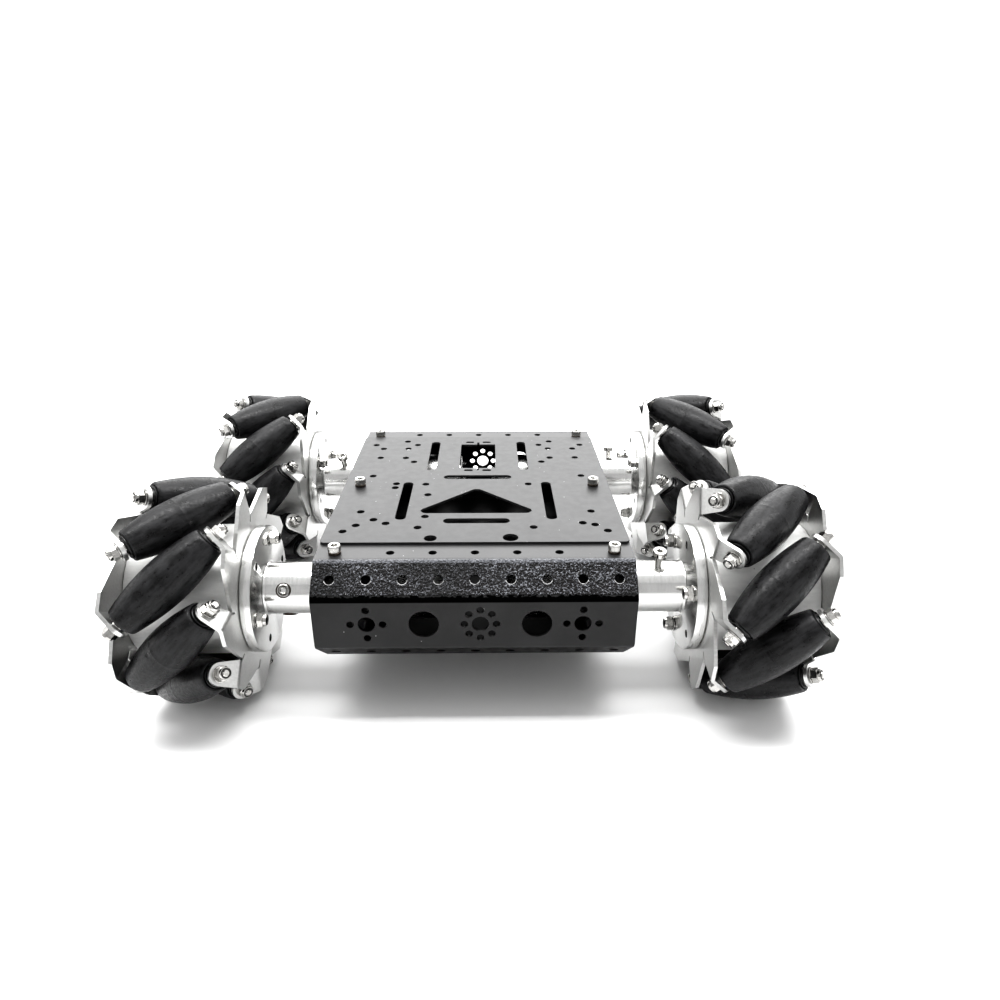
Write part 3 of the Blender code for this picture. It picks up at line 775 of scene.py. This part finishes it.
def make_deck():
    edge = [
        (-HALF_WIDTH, DECK_FRONT_Y), (HALF_WIDTH, DECK_FRONT_Y),
        (HALF_WIDTH, DECK_REAR_Y), (-HALF_WIDTH, DECK_REAR_Y),
    ]
    outlines = [rounded(edge, 3.0)]
    # Window, with a small notch in the middle of its front and rear edges
    low, high = 22.8, 70.0
    outlines.append(
        [
            (-12.5, low), (-0.8, low), (-0.8, low - 4.0), (0.8, low - 4.0), (0.8, low), (12.5, low),
            (12.5, high), (0.8, high), (0.8, high + 4.4), (-0.8, high + 4.4), (-0.8, high), (-12.5, high),
        ]
    )
    triangle = [(-31.0, -49.5), (31.0, -49.5), (34.5, -45.5), (1.8, -13.6), (-1.8, -13.6), (-34.5, -45.5)]
    outlines.append(rounded(triangle, (3.2, 3.2, 3.2, 1.8, 1.8, 3.2), 6))
    for x, y in PAIRED_HOLES:
        for side in (-1, 1):
            outlines.append(circle(side * x, y, 2.3))
    for x, y in SINGLE_HOLES:
        outlines.append(circle(x, y, 2.3))
    for x, y, radius in FRONT_HOLES:
        outlines.append(circle(x, y, radius))
    for x0, y0, x1, y1 in DECK_SLOTS:
        outlines.append(slot_outline(x0, y0, x1, y1, 3.2))
    for y in (18.9, 74.9):
        for x in (-6.2, 6.2):
            outlines.append(slot_outline(x - 1.6, y, x + 1.6, y, 1.5, 8))
    mesh = filled("deck_skin", outlines, DECK_SKIN_SHEET)
    mesh.transform(moved(0, 0, DECK_LOW_Z + DECK_SHEET - DECK_SKIN_SHEET / 2))
    show("deck_skin", mesh, [DECK], "chassis", ["deck_plate"], bevel=0.16)


make_deck()


def make_deck_screws():
    """Six M4 cap screws, four on the lips and two on the deck, each on a dark washer as wide as its head."""
    bm = bmesh.new()
    washer = [(1.9, 0.02), (3.3, 0.02), (3.45, 0.15), (3.45, 1.4), (3.2, 1.6), (1.9, 1.6)]
    for row, y in enumerate(SCREW_YS):
        on_deck = row == 1
        base = DECK_LOW_Z + DECK_SHEET if on_deck else LIP_Z
        for side in (-1, 1):
            spot = moved(side * SCREW_X, y, base) @ turned_about("Z", 0.4 * side + row)
            ring_solid(bm, washer, 40, spot, 1)
            cap_head(bm, 7.0, 3.6, 1.65, 3.2, spot, knurl=0.16, segments=144)
            threaded(bm, 1.95, -9.5 if on_deck else -8.2, 0.9, 0.7, spot)
    mesh = finish_mesh(bm, "deck_screws")
    show("deck_screws", mesh, [NICKEL, OXIDE], "chassis")


make_deck_screws()


# ------------------------------------------------------------------ side channels and motors
def make_channels():
    """Channels that carry the motors: a bright web on the outside; the inside faces take a darker copy of the
    aluminium, as painted shade.
    """
    out = HALF_WIDTH - 0.2
    back = out - CHANNEL_FLANGE
    top = LIP_Z - SHEET - 0.3
    low = BOTTOM_Z + SHEET + 0.3
    section = [
        (back, low), (out, low), (out, top), (back, top),
        (back, top - SHEET), (out - SHEET, top - SHEET), (out - SHEET, low + SHEET), (back, low + SHEET),
    ]
    outline = rounded(section, (0, 3.0, 3.0, 0, 0, 1.2, 1.2, 0), 6)
    for side, word in ((-1, "left"), (1, "right")):
        name = "side_channel_%s_skin" % word
        mesh = filled(name + "_blank", [outline], CHANNEL_LENGTH)
        mesh.transform(turned_about("X", math.pi / 2))
        if side < 0:
            mesh.transform(turned_about("Z", math.pi))
        holes = []
        web_x = side * (out - 1)
        for end in (-1, 1):
            holes.append(((web_x, end * AXLE_Y, WHEEL_CENTRE_Z), (1, 0, 0), 8.0, 6))
            for k in range(6):
                y, z = polar(CASE_SCREW_CIRCLE, math.radians(30 + 60 * k), end * AXLE_Y, WHEEL_CENTRE_Z)
                holes.append(((web_x, y, z), (1, 0, 0), 1.6, 6))
        for y in SCREW_YS:
            holes.append(((side * SCREW_X, y, top - 1), (0, 0, 1), 2.2, 6))
        mesh = bored(mesh, name, holes, 28)
        # Faces that don't face outward take the darker aluminium: painted shade
        for polygon in mesh.polygons:
            polygon.material_index = int(polygon.normal.x * side < 0.99)
        looks = [CHANNEL, CHANNEL_SHADED]
        show(name, mesh, looks, "chassis", ["side_channel_" + word], bevel=0.25)


make_channels()


def make_motor_mesh():
    bm = bmesh.new()
    # Gearbox case and front boss, with the bore that the shaft turns in
    gearbox = [
        (0, 42.2), (17.0, 42.2), (18.1, 42.8), (18.1, 45.4), (18.5, 45.8), (18.5, 79.6),
        (18.1, 80.0), (18.1, 80.6), (18.5, 81.0), (18.5, 82.4), (18.0, 82.9), (6.2, 82.9),
        (6.2, 85.6), (5.9, 86.0), (4.2, 86.0), (4.2, 64.0), (0, 63.0),
    ]
    turned(bm, gearbox, 72, None, 0)
    # Can with rolled ends, and its tail boss
    can = [
        (0, 9.6), (2.6, 9.6), (4.6, 9.9), (5.0, 10.3), (5.0, 12.4), (5.4, 12.9), (15.8, 12.9), (17.0, 13.5),
        (17.6, 14.6), (17.6, 39.2), (17.2, 39.6), (17.2, 40.4), (17.6, 40.8), (17.6, 42.1), (0, 42.1),
    ]
    turned(bm, can, 72, None, 1)
    terminal = [(0, 9.8), (1.0, 9.8), (1.15, 10.0), (1.15, 12.9), (0, 12.95)]
    for k in range(2):
        angle = math.pi * k + 0.5
        turned(bm, terminal, 12, moved(*polar(10.5, angle), 0) @ turned_about("Z", angle), 1)
    return finish_mesh(bm, "motor_skin")


def make_motors():
    mesh = make_motor_mesh()
    for name, (side, end, first, slant, bolt) in WHEELS.items():
        spot = moved(0, end * AXLE_Y, WHEEL_CENTRE_Z) @ turned_about("Y", side * math.pi / 2)
        show("motor_%s_skin" % name, mesh, [GEARBOX, CAN], "chassis", ["motor_" + name], spot)
        # Case screws, their heads on the channel's web
        screws = bmesh.new()
        for k in range(6):
            place = spot @ moved(*polar(CASE_SCREW_CIRCLE, math.radians(30 + 60 * k)), 0)
            cap_head(screws, 5.4, 2.6, HALF_WIDTH - 0.15, 2.5, place, knurl=0.07, segments=72)
            threaded(screws, 1.45, HALF_WIDTH - 2.6, HALF_WIDTH, 0.5, place)
        show("motor_screws_" + name, finish_mesh(screws, "motor_screws"), [NICKEL], "chassis")


make_motors()


# ------------------------------------------------------------------ wheels
def barrel_radius(along):
    return WHEEL_RADIUS - math.sqrt(AXIS_RADIUS**2 + along**2 / 2)


def make_roller_mesh():
    """Rubber barrel with a moulding line, rounded rims and a stepped black core at each end."""
    bm = bmesh.new()
    rim = 28.6
    half = rim - 0.9
    steps = 26
    rings = []
    for k in range(steps + 1):
        along = -half + 2 * half * k / steps
        rings.append((barrel_radius(along), along))
    # The moulding line is a fine raised seam at mid-length
    widest = barrel_radius(0)
    seam = [(widest - 0.005, -0.3), (widest + 0.035, -0.1), (widest + 0.035, 0.1), (widest - 0.005, 0.3)]
    middle = len(rings) // 2
    rings[middle:middle + 1] = seam
    edge = barrel_radius(rim)

    def end(sign):
        return [
            (edge - 0.02, sign * (rim - 0.42)), (edge - 0.28, sign * (rim - 0.1)), (edge - 0.75, sign * rim),
            (7.25, sign * rim), (7.05, sign * (rim - 0.25)), (7.0, sign * (rim - 1.5)),
        ]

    rubber = list(reversed(end(-1))) + rings + end(1)
    turned(bm, [(0, -(rim - 1.5))] + rubber + [(0, rim - 1.5)], 80, None, 0)
    base = rim - 1.45
    core = [
        (0, base), (6.5, base), (6.6, base + 0.2), (6.6, base + 2.0), (6.35, base + 2.25),
        (5.5, base + 2.25), (5.3, base + 1.8), (4.9, base + 1.8), (4.7, base + 2.4), (4.5, base + 2.75),
        (0, base + 2.75),
    ]
    spacer = [(2.0, 29.95), (3.7, 29.95), (3.8, 30.1), (3.8, 30.85), (3.6, 31.0), (2.0, 31.0)]
    for turn in (turned_about("X", math.pi), Matrix()):
        turned(bm, core, 56, turn, 1)
        ring_solid(bm, spacer, 36, turn, 2)
    return finish_mesh(bm, "roller_skin")


def make_axle_mesh():
    """Roller bolt with a lock nut and a washer against the outer face of each tab."""
    bm = bmesh.new()
    for turn in (Matrix(), turned_about("X", math.pi) @ turned_about("Z", 0.35)):
        lock_nut(bm, 7.0, 33.06, 2.0, turn)
        rod(bm, 1.9, 29.8, 33.3, 20, turn)
    return finish_mesh(bm, "roller_axle")


ROLLER_MESH = make_roller_mesh()
AXLE_MESH = make_axle_mesh()


def bend_strip(bm, spin, end, lean, root, bend_radius):
    """The bend of one tab, from the plate to where the flat tongue begins."""
    strips = 6
    rows = []
    for i in range(strips + 1):
        angle = math.radians(45.0 * i / strips)
        t = root + bend_radius * math.sin(angle)
        x = PLATE_OFFSET - bend_radius * (1 - math.cos(angle))
        row = []
        for radial in (TAB_ROOT_OUTER, TAB_ROOT_INNER):
            row.append(bm.verts.new(spin @ Vector((end * x * MM, -radial * MM, lean * t * MM))))
        rows.append(row)
    for a, b in zip(rows, rows[1:]):
        bm.faces.new((a[0], a[1], b[1], b[0]))


def plate_outlines(root, lean, bolt):
    """Edge of the flat plate with its nine teeth, the centre hole and the six bolt holes."""
    # Radial, tangential and corner radius in the frame of the tooth's own roller
    tooth = [
        (42.0, -15.2, 0.2), (57.0, 5.5, 2.0), (TAB_ROOT_OUTER, root, 0), (TAB_ROOT_INNER, root, 0),
        (39.43, 12.0, 0.3), (38.77, 12.8, 0.3),
    ]
    edge = []
    radii = []
    for k in range(ROLLER_COUNT):
        turn = 2 * math.pi * k / ROLLER_COUNT
        cos, sin = math.cos(turn), math.sin(turn)
        for radial, across, radius in tooth:
            edge.append((radial * cos - across * sin, radial * sin + across * cos))
            radii.append(radius)
    outlines = [rounded(edge, radii, 5), circle(0, 0, PLATE_BORE, 48)]
    for i in range(FLANGE_HOLES):
        angle = math.radians(lean * (bolt + 360 / FLANGE_HOLES * i))
        outlines.append(circle(*polar(FLANGE_CIRCLE, angle), 2.2, 20))
    return outlines


def plate_sheet(name, end, lean, bolt):
    """One pinwheel plate in the wheel's frame, its nine tabs bent on a small radius."""
    bend_radius = 2.4
    setback = bend_radius * math.tan(math.radians(22.5))
    root = TAB_BEND_T - setback
    offset = end * PLATE_OFFSET * MM
    flat = filled(name + "_flat", plate_outlines(root, lean, bolt), 0.0)
    flat.transform(Matrix(((0, 0, end, offset), (-1, 0, 0, 0), (0, lean, 0, 0), (0, 0, 0, 1))))
    bm = bmesh.new()
    bm.from_mesh(flat)

    # Tongue of a tab: flat, with a round tip. Its first axis leaves the bend.
    to_bolt = (PLATE_OFFSET - TAB_BEND_T) / 2 * math.sqrt(2)
    tongue = [(setback, TAB_ROOT_OUTER), (setback, TAB_ROOT_INNER)]
    for i in range(17):
        tongue.append(polar(TAB_TIP_RADIUS, math.radians(-80 + 10 * i), to_bolt, AXIS_RADIUS))
    tongue_mesh = filled(name + "_tongue", [tongue, circle(to_bolt, AXIS_RADIUS, 2.3, 20)], 0.0)
    step = math.sqrt(0.5)
    first = (-end * step, 0, 0, offset)
    third = (lean * step, 0, 0, lean * TAB_BEND_T * MM)
    to_tab = Matrix((first, (0, -1, 0, 0), third, (0, 0, 0, 1)))
    for k in range(ROLLER_COUNT):
        spin = turned_about("X", -lean * 2 * math.pi * k / ROLLER_COUNT)
        tongue_copy = tongue_mesh.copy()
        tongue_copy.transform(spin @ to_tab)
        bm.from_mesh(tongue_copy)
        bpy.data.meshes.remove(tongue_copy)
        bend_strip(bm, spin, end, lean, root, bend_radius)
    bmesh.ops.remove_doubles(bm, verts=bm.verts, dist=2e-5)
    bpy.data.meshes.remove(flat)
    bpy.data.meshes.remove(tongue_mesh)
    bmesh.ops.dissolve_limit(bm, angle_limit=0.001, verts=bm.verts, edges=bm.edges)
    mesh = finish_mesh(bm, name + "_surface")
    sheet = placed(name + "_surface", mesh)
    thick = sheet.modifiers.new("sheet", "SOLIDIFY")
    thick.thickness = PLATE_SHEET * MM
    thick.offset = 0.0
    thick.use_even_offset = True
    return applied(sheet, name)


def make_drum_mesh():
    half = PLATE_OFFSET - PLATE_SHEET / 2 - 0.02
    inner = DRUM_RADIUS - 2.5
    outer = DRUM_RADIUS
    bm = bmesh.new()
    section = [
        (inner, -half + 0.4), (inner + 0.4, -half), (outer - 0.4, -half), (outer, -half + 0.4),
        (outer, half - 0.4), (outer - 0.4, half), (inner + 0.4, half), (inner, half - 0.4),
    ]
    ring_solid(bm, section, 128)
    return finish_mesh(bm, "drum_skin")


def make_coupling_mesh(bolt, side):
    """Shaft, barrel and bolting flange in one turned piece, with six bolt holes. Heights count from the
    middle of the wheel."""
    bm = bmesh.new()
    r, f = BARREL_RADIUS, FLANGE_RADIUS
    tip = SHAFT_START_X - AXLE_X
    a, b, c = BARREL_START_X - AXLE_X, FLANGE_START_X - AXLE_X, FLANGE_SKIN_END_X - AXLE_X
    shaft = [(0, tip), (SHAFT_RADIUS - 0.4, tip), (SHAFT_RADIUS, tip + 0.4), (SHAFT_RADIUS, a + 0.1)]
    barrel = [
        (r - 0.7, a), (r - 0.2, a + 0.2), (r, a + 0.7),
        (r, b - 1.3), (r + 0.12, b - 0.8), (r + 0.45, b - 0.25), (r + 1.1, b),
    ]
    flange = [
        (f - 0.9, b), (f - 0.25, b + 0.25), (f, b + 0.9),
        (f, c - 0.7), (f - 0.5, c - 0.1), (f - 0.9, c), (0, c),
    ]
    turned(bm, shaft + barrel + flange, 128)
    mesh = finish_mesh(bm, "coupling_blank")
    holes = []
    for i in range(FLANGE_HOLES):
        # The mesh's Z runs outward along the axle; the angle is measured in the wheel's frame.
        angle = math.radians(bolt + 360 / FLANGE_HOLES * i)
        local = -angle - math.pi / 2 if side > 0 else angle - math.pi / 2
        holes.append(((*polar(FLANGE_CIRCLE, local), (b + c) / 2), (0, 0, 1), 2.25, 9))
    return bored(mesh, "coupling_skin", holes, 28)


DRUM_MESH = make_drum_mesh()
# Screws in the barrel: distance from the robot's middle, angle round the axle, head radius and length showing
BARREL_SCREWS = {
    "front_left": ((105.6, 24.8, 3.5, 0.6), (105.6, -65.2, 3.5, 0.6)),
    "front_right": ((102.6, 80.0, 4.0, 8.0),),
    "rear_left": ((101.3, 60.0, 3.6, 9.0),),
    "rear_right": ((100.6, 110.0, 3.5, 5.4),),
}


def make_plates(name, side, slant, bolt, hub):
    for word, face in (("inner", -side), ("outer", side)):
        plate_name = "plate_%s_%s" % (word, name)
        mesh = plate_sheet(plate_name + "_skin", face, face * slant, bolt)
        looks = [PLATE]
        if word == "outer":
            # Outer faces of the outer plates take a darker copy of the plate metal with a brushed grain: the
            # darker tone is painted shade
            looks.append(PLATE_FACE_SHADED)
            surface = (PLATE_OFFSET + PLATE_SHEET / 2 - 0.02) * MM
            for polygon in mesh.polygons:
                polygon.material_index = int(polygon.center.x * face > surface)
        body = "wheel_" + name
        show(plate_name + "_skin", mesh, looks, body, [plate_name], hub, bevel=0.22)


def make_rollers(name, end, slant, hub):
    along = Vector((math.sqrt(0.5), 0, slant * math.sqrt(0.5)))
    out = Vector((0, -1, 0))
    aim = Matrix((out, along.cross(out), along)).transposed().to_4x4()
    for k in range(ROLLER_COUNT):
        spin = turned_about("X", -2 * math.pi * k / ROLLER_COUNT)
        spot = hub @ spin @ moved(0, -AXIS_RADIUS, 0) @ aim
        node = "roller_%s_%d" % (name, k + 1)
        looks = [RUBBER, CORE, NICKEL]
        place = spot @ turned_about("Z", 0.9 * k)
        show(node + "_skin", ROLLER_MESH, looks, node, [node], place)
        axle = "roller_axle_%s_%d" % (name, k + 1)
        place = spot @ turned_about("Z", 0.7 * k + end)
        show(axle, AXLE_MESH, [NICKEL, NYLON], "wheel_" + name, (), place)


def make_flange_bolts(name, side, bolt, hub):
    """Cap heads inside the drum, lock nuts on the chassis side, the ends of the bolts dark nylon as painted
    shade inside the nuts.
    """
    bm = bmesh.new()
    flange = AXLE_X - FLANGE_START_X
    for i in range(FLANGE_BOLTS):
        y, z = polar(FLANGE_CIRCLE, math.pi - math.radians(bolt + 360 / FLANGE_BOLTS * i))
        spot = moved(0, y, z)
        inward = spot @ turned_about("Y", -side * math.pi / 2) @ turned_about("Z", 0.5 + i)
        lock_nut(bm, 7.0, flange + 0.03, 2.0, inward, 3.9, 1)
        rod(bm, 2.0, 28.0, flange + 1.0, 20, inward)
        outward = spot @ turned_about("Y", side * math.pi / 2)
        cap_head(bm, 7.0, 4.0, -(PLATE_OFFSET - 1.03), 3.0, outward)
    mesh = finish_mesh(bm, "flange_bolts")
    show("flange_bolts_" + name, mesh, [NICKEL, NYLON], "wheel_" + name, (), hub)


def set_screw(bm, head, surface, place):
    """Short socket screw in the barrel: a bright rim between two dark grooves, which hold dark oxide rings as
    painted shade, and a dark oxide floor in the socket, painted shade too.
    """
    top = surface + 0.35
    low = top - 1.4
    # Dark oxide ring in the outer groove: painted shade
    sleeve(bm, head + 0.1, head + 0.75, low, top, 40, place, 1)
    rim = [
        (head * 0.8, low + 0.1), (head + 0.05, low + 0.1), (head + 0.05, top + 0.1),
        (head - 0.2, top + 0.3), (head * 0.8, top + 0.3),
    ]
    ring_solid(bm, rim, 40, place)
    # Dark oxide ring in the inner groove: painted shade
    sleeve(bm, head * 0.71, head * 0.79, low - 0.1, top - 0.3, 40, place, 1)
    cap_head(bm, head * 1.4, 3.2, surface - 2.9, 2.6, place, knurl=0.0)
    # Dark floor of the socket: painted shade
    bottom = [(0, surface - 2.2), (1.1, surface - 2.2), (1.1, surface - 1.6), (0, surface - 1.4)]
    turned(bm, bottom, 24, place, 1)


def make_barrel_screws(name, side, end):
    """Screws that clamp the barrel on the motor shaft."""
    bm = bmesh.new()
    for distance, angle, head, length in BARREL_SCREWS[name]:
        a = math.radians(angle)
        direction = Vector((0, -math.cos(a), math.sin(a)))
        aim = Vector((0, 0, 1)).rotation_difference(direction).to_matrix().to_4x4()
        place = moved(side * distance, end * AXLE_Y, WHEEL_CENTRE_Z) @ aim
        if length > 2:
            tip = BARREL_RADIUS + length
            threaded(bm, 1.9, BARREL_RADIUS - 4.0, tip, 0.7, place)
            cap_head(bm, head * 2, 3.2, tip - 0.3, 3.0, place)
        else:
            set_screw(bm, head, BARREL_RADIUS, place)
    mesh = finish_mesh(bm, "barrel_screws")
    show("barrel_screws_" + name, mesh, [NICKEL, OXIDE], "wheel_" + name)


def make_wheel(name, side, end, first, slant, bolt):
    body = "wheel_" + name
    hub = moved(side * AXLE_X, end * AXLE_Y, WHEEL_CENTRE_Z) @ turned_about("X", math.radians(-first))
    outward = hub @ turned_about("Y", side * math.pi / 2)
    show("drum_%s_skin" % name, DRUM_MESH, [DRUM], body, ["drum_" + name], outward)
    coupling = "coupling_" + name
    mesh = make_coupling_mesh(bolt, side)
    show(coupling + "_skin", mesh, [TURNED], body, [coupling], outward, sharp=28)
    make_plates(name, side, slant, bolt, hub)
    make_rollers(name, end, slant, hub)
    make_flange_bolts(name, side, bolt, hub)
    make_barrel_screws(name, side, end)


for wheel_name, values in WHEELS.items():
    make_wheel(wheel_name, *values)


# ------------------------------------------------------------------ floor, light and camera
def flag_material():
    mat, tree, shader = start("grey_flag", 0.0, 0.2)
    where = add(tree, "ShaderNodeTexCoord").outputs["Object"]
    tone = ranged(tree, noise(tree, where, 3.0), 0.3, 0.7)
    tree.links.new(blend(tree, tone, rgb(0.30), rgb(0.303)), shader.inputs["Base Color"])
    shader.inputs["Roughness"].default_value = 0.9
    return mat


def make_panel(name, width, depth, matrix, mat):
    bm = bmesh.new()
    bmesh.ops.create_grid(bm, x_segments=8, y_segments=8, size=0.5)
    mesh = finish_mesh(bm, name)
    mesh.transform(Matrix.Diagonal((width, depth, 1, 1)))
    mesh.materials.append(mat)
    obj = placed(name, mesh)
    obj.matrix_world = matrix
    return obj


def floor_material():
    """White table top, a little less white under the lamps so that it looks even."""
    mat, tree, shader = start("pale_floor", 0.0, 0.2)
    where = add(tree, "ShaderNodeTexCoord").outputs["Object"]
    lamp = (0.0, 1.0, 0.0)
    far = add(tree, "ShaderNodeVectorMath", {0: where, 1: lamp}, operation="DISTANCE").outputs["Value"]
    tone = ranged(tree, noise(tree, where, 3.0), 0.3, 0.7, 0.0, 0.01)
    spread = plus(tree, ranged(tree, far, 0.9, 2.6, 0.0, 0.99), tone)
    tree.links.new(blend(tree, spread, rgb(0.72), rgb(0.94)), shader.inputs["Base Color"])
    shader.inputs["Roughness"].default_value = 0.55
    return mat


make_panel("floor", 30.0, 30.0, Matrix.Translation((0, 0, -0.0003)), floor_material())
# A grey board in front of the robot, hidden from the camera
stand = Matrix.Translation((0, -1.5, 0.71)) @ turned_about("X", math.pi / 2)
flag = make_panel("front_flag", 3.0, 1.4, stand, flag_material())
flag.visible_camera = False


def make_light(name, size, power, location, target):
    light = bpy.data.lights.new(name, "AREA")
    light.shape = "RECTANGLE"
    light.size, light.size_y = size
    light.energy = power
    obj = placed(name, light)
    aim = (Vector(target) - Vector(location)).to_track_quat("-Z", "Y")
    obj.matrix_world = Matrix.Translation(location) @ aim.to_matrix().to_4x4()
    return obj


make_light("overhead", (2.6, 2.2), 66.0, (0.0, 1.3, 1.4), (0.0, 0.0, 0.05))
make_light("strip", (2.2, 0.3), 42.0, (0.0, -0.05, 1.5), (0.0, 0.0, 0.05))
make_light("left_box", (1.8, 2.0), 11.0, (-1.6, 0.2, 1.1), (0.0, 0.0, 0.06))
make_light("right_box", (1.8, 2.0), 5.0, (1.6, 0.2, 1.1), (0.0, 0.0, 0.06))

world = bpy.data.worlds.new("studio")
bpy.context.scene.world = world
world.use_nodes = True
backdrop = world.node_tree.nodes["Background"]
backdrop.inputs["Color"].default_value = (1.0, 1.0, 1.0, 1.0)
backdrop.inputs["Strength"].default_value = 0.95
bpy.context.scene.view_settings.view_transform = "Standard"
bpy.context.scene.view_settings.look = "Medium High Contrast"


def make_camera():
    data = bpy.data.cameras.new("camera")
    data.sensor_width = 36.0
    data.lens = 26.371
    data.clip_start = 0.01
    data.clip_end = 100.0
    obj = placed("camera", data)
    pitch, yaw, roll = 0.4233, 0.0179, 0.0043
    forward = Vector((math.sin(yaw) * math.cos(pitch), math.cos(yaw) * math.cos(pitch), -math.sin(pitch)))
    right = Vector((math.cos(yaw), -math.sin(yaw), 0))
    up = right.cross(forward)
    across = math.cos(roll) * right + math.sin(roll) * up
    above = math.cos(roll) * up - math.sin(roll) * right
    turn = Matrix((across, above, -forward)).transposed().to_4x4()
    obj.matrix_world = Matrix.Translation((0.00712, -0.44435, 0.28080)) @ turn
    bpy.context.scene.camera = obj


make_camera()
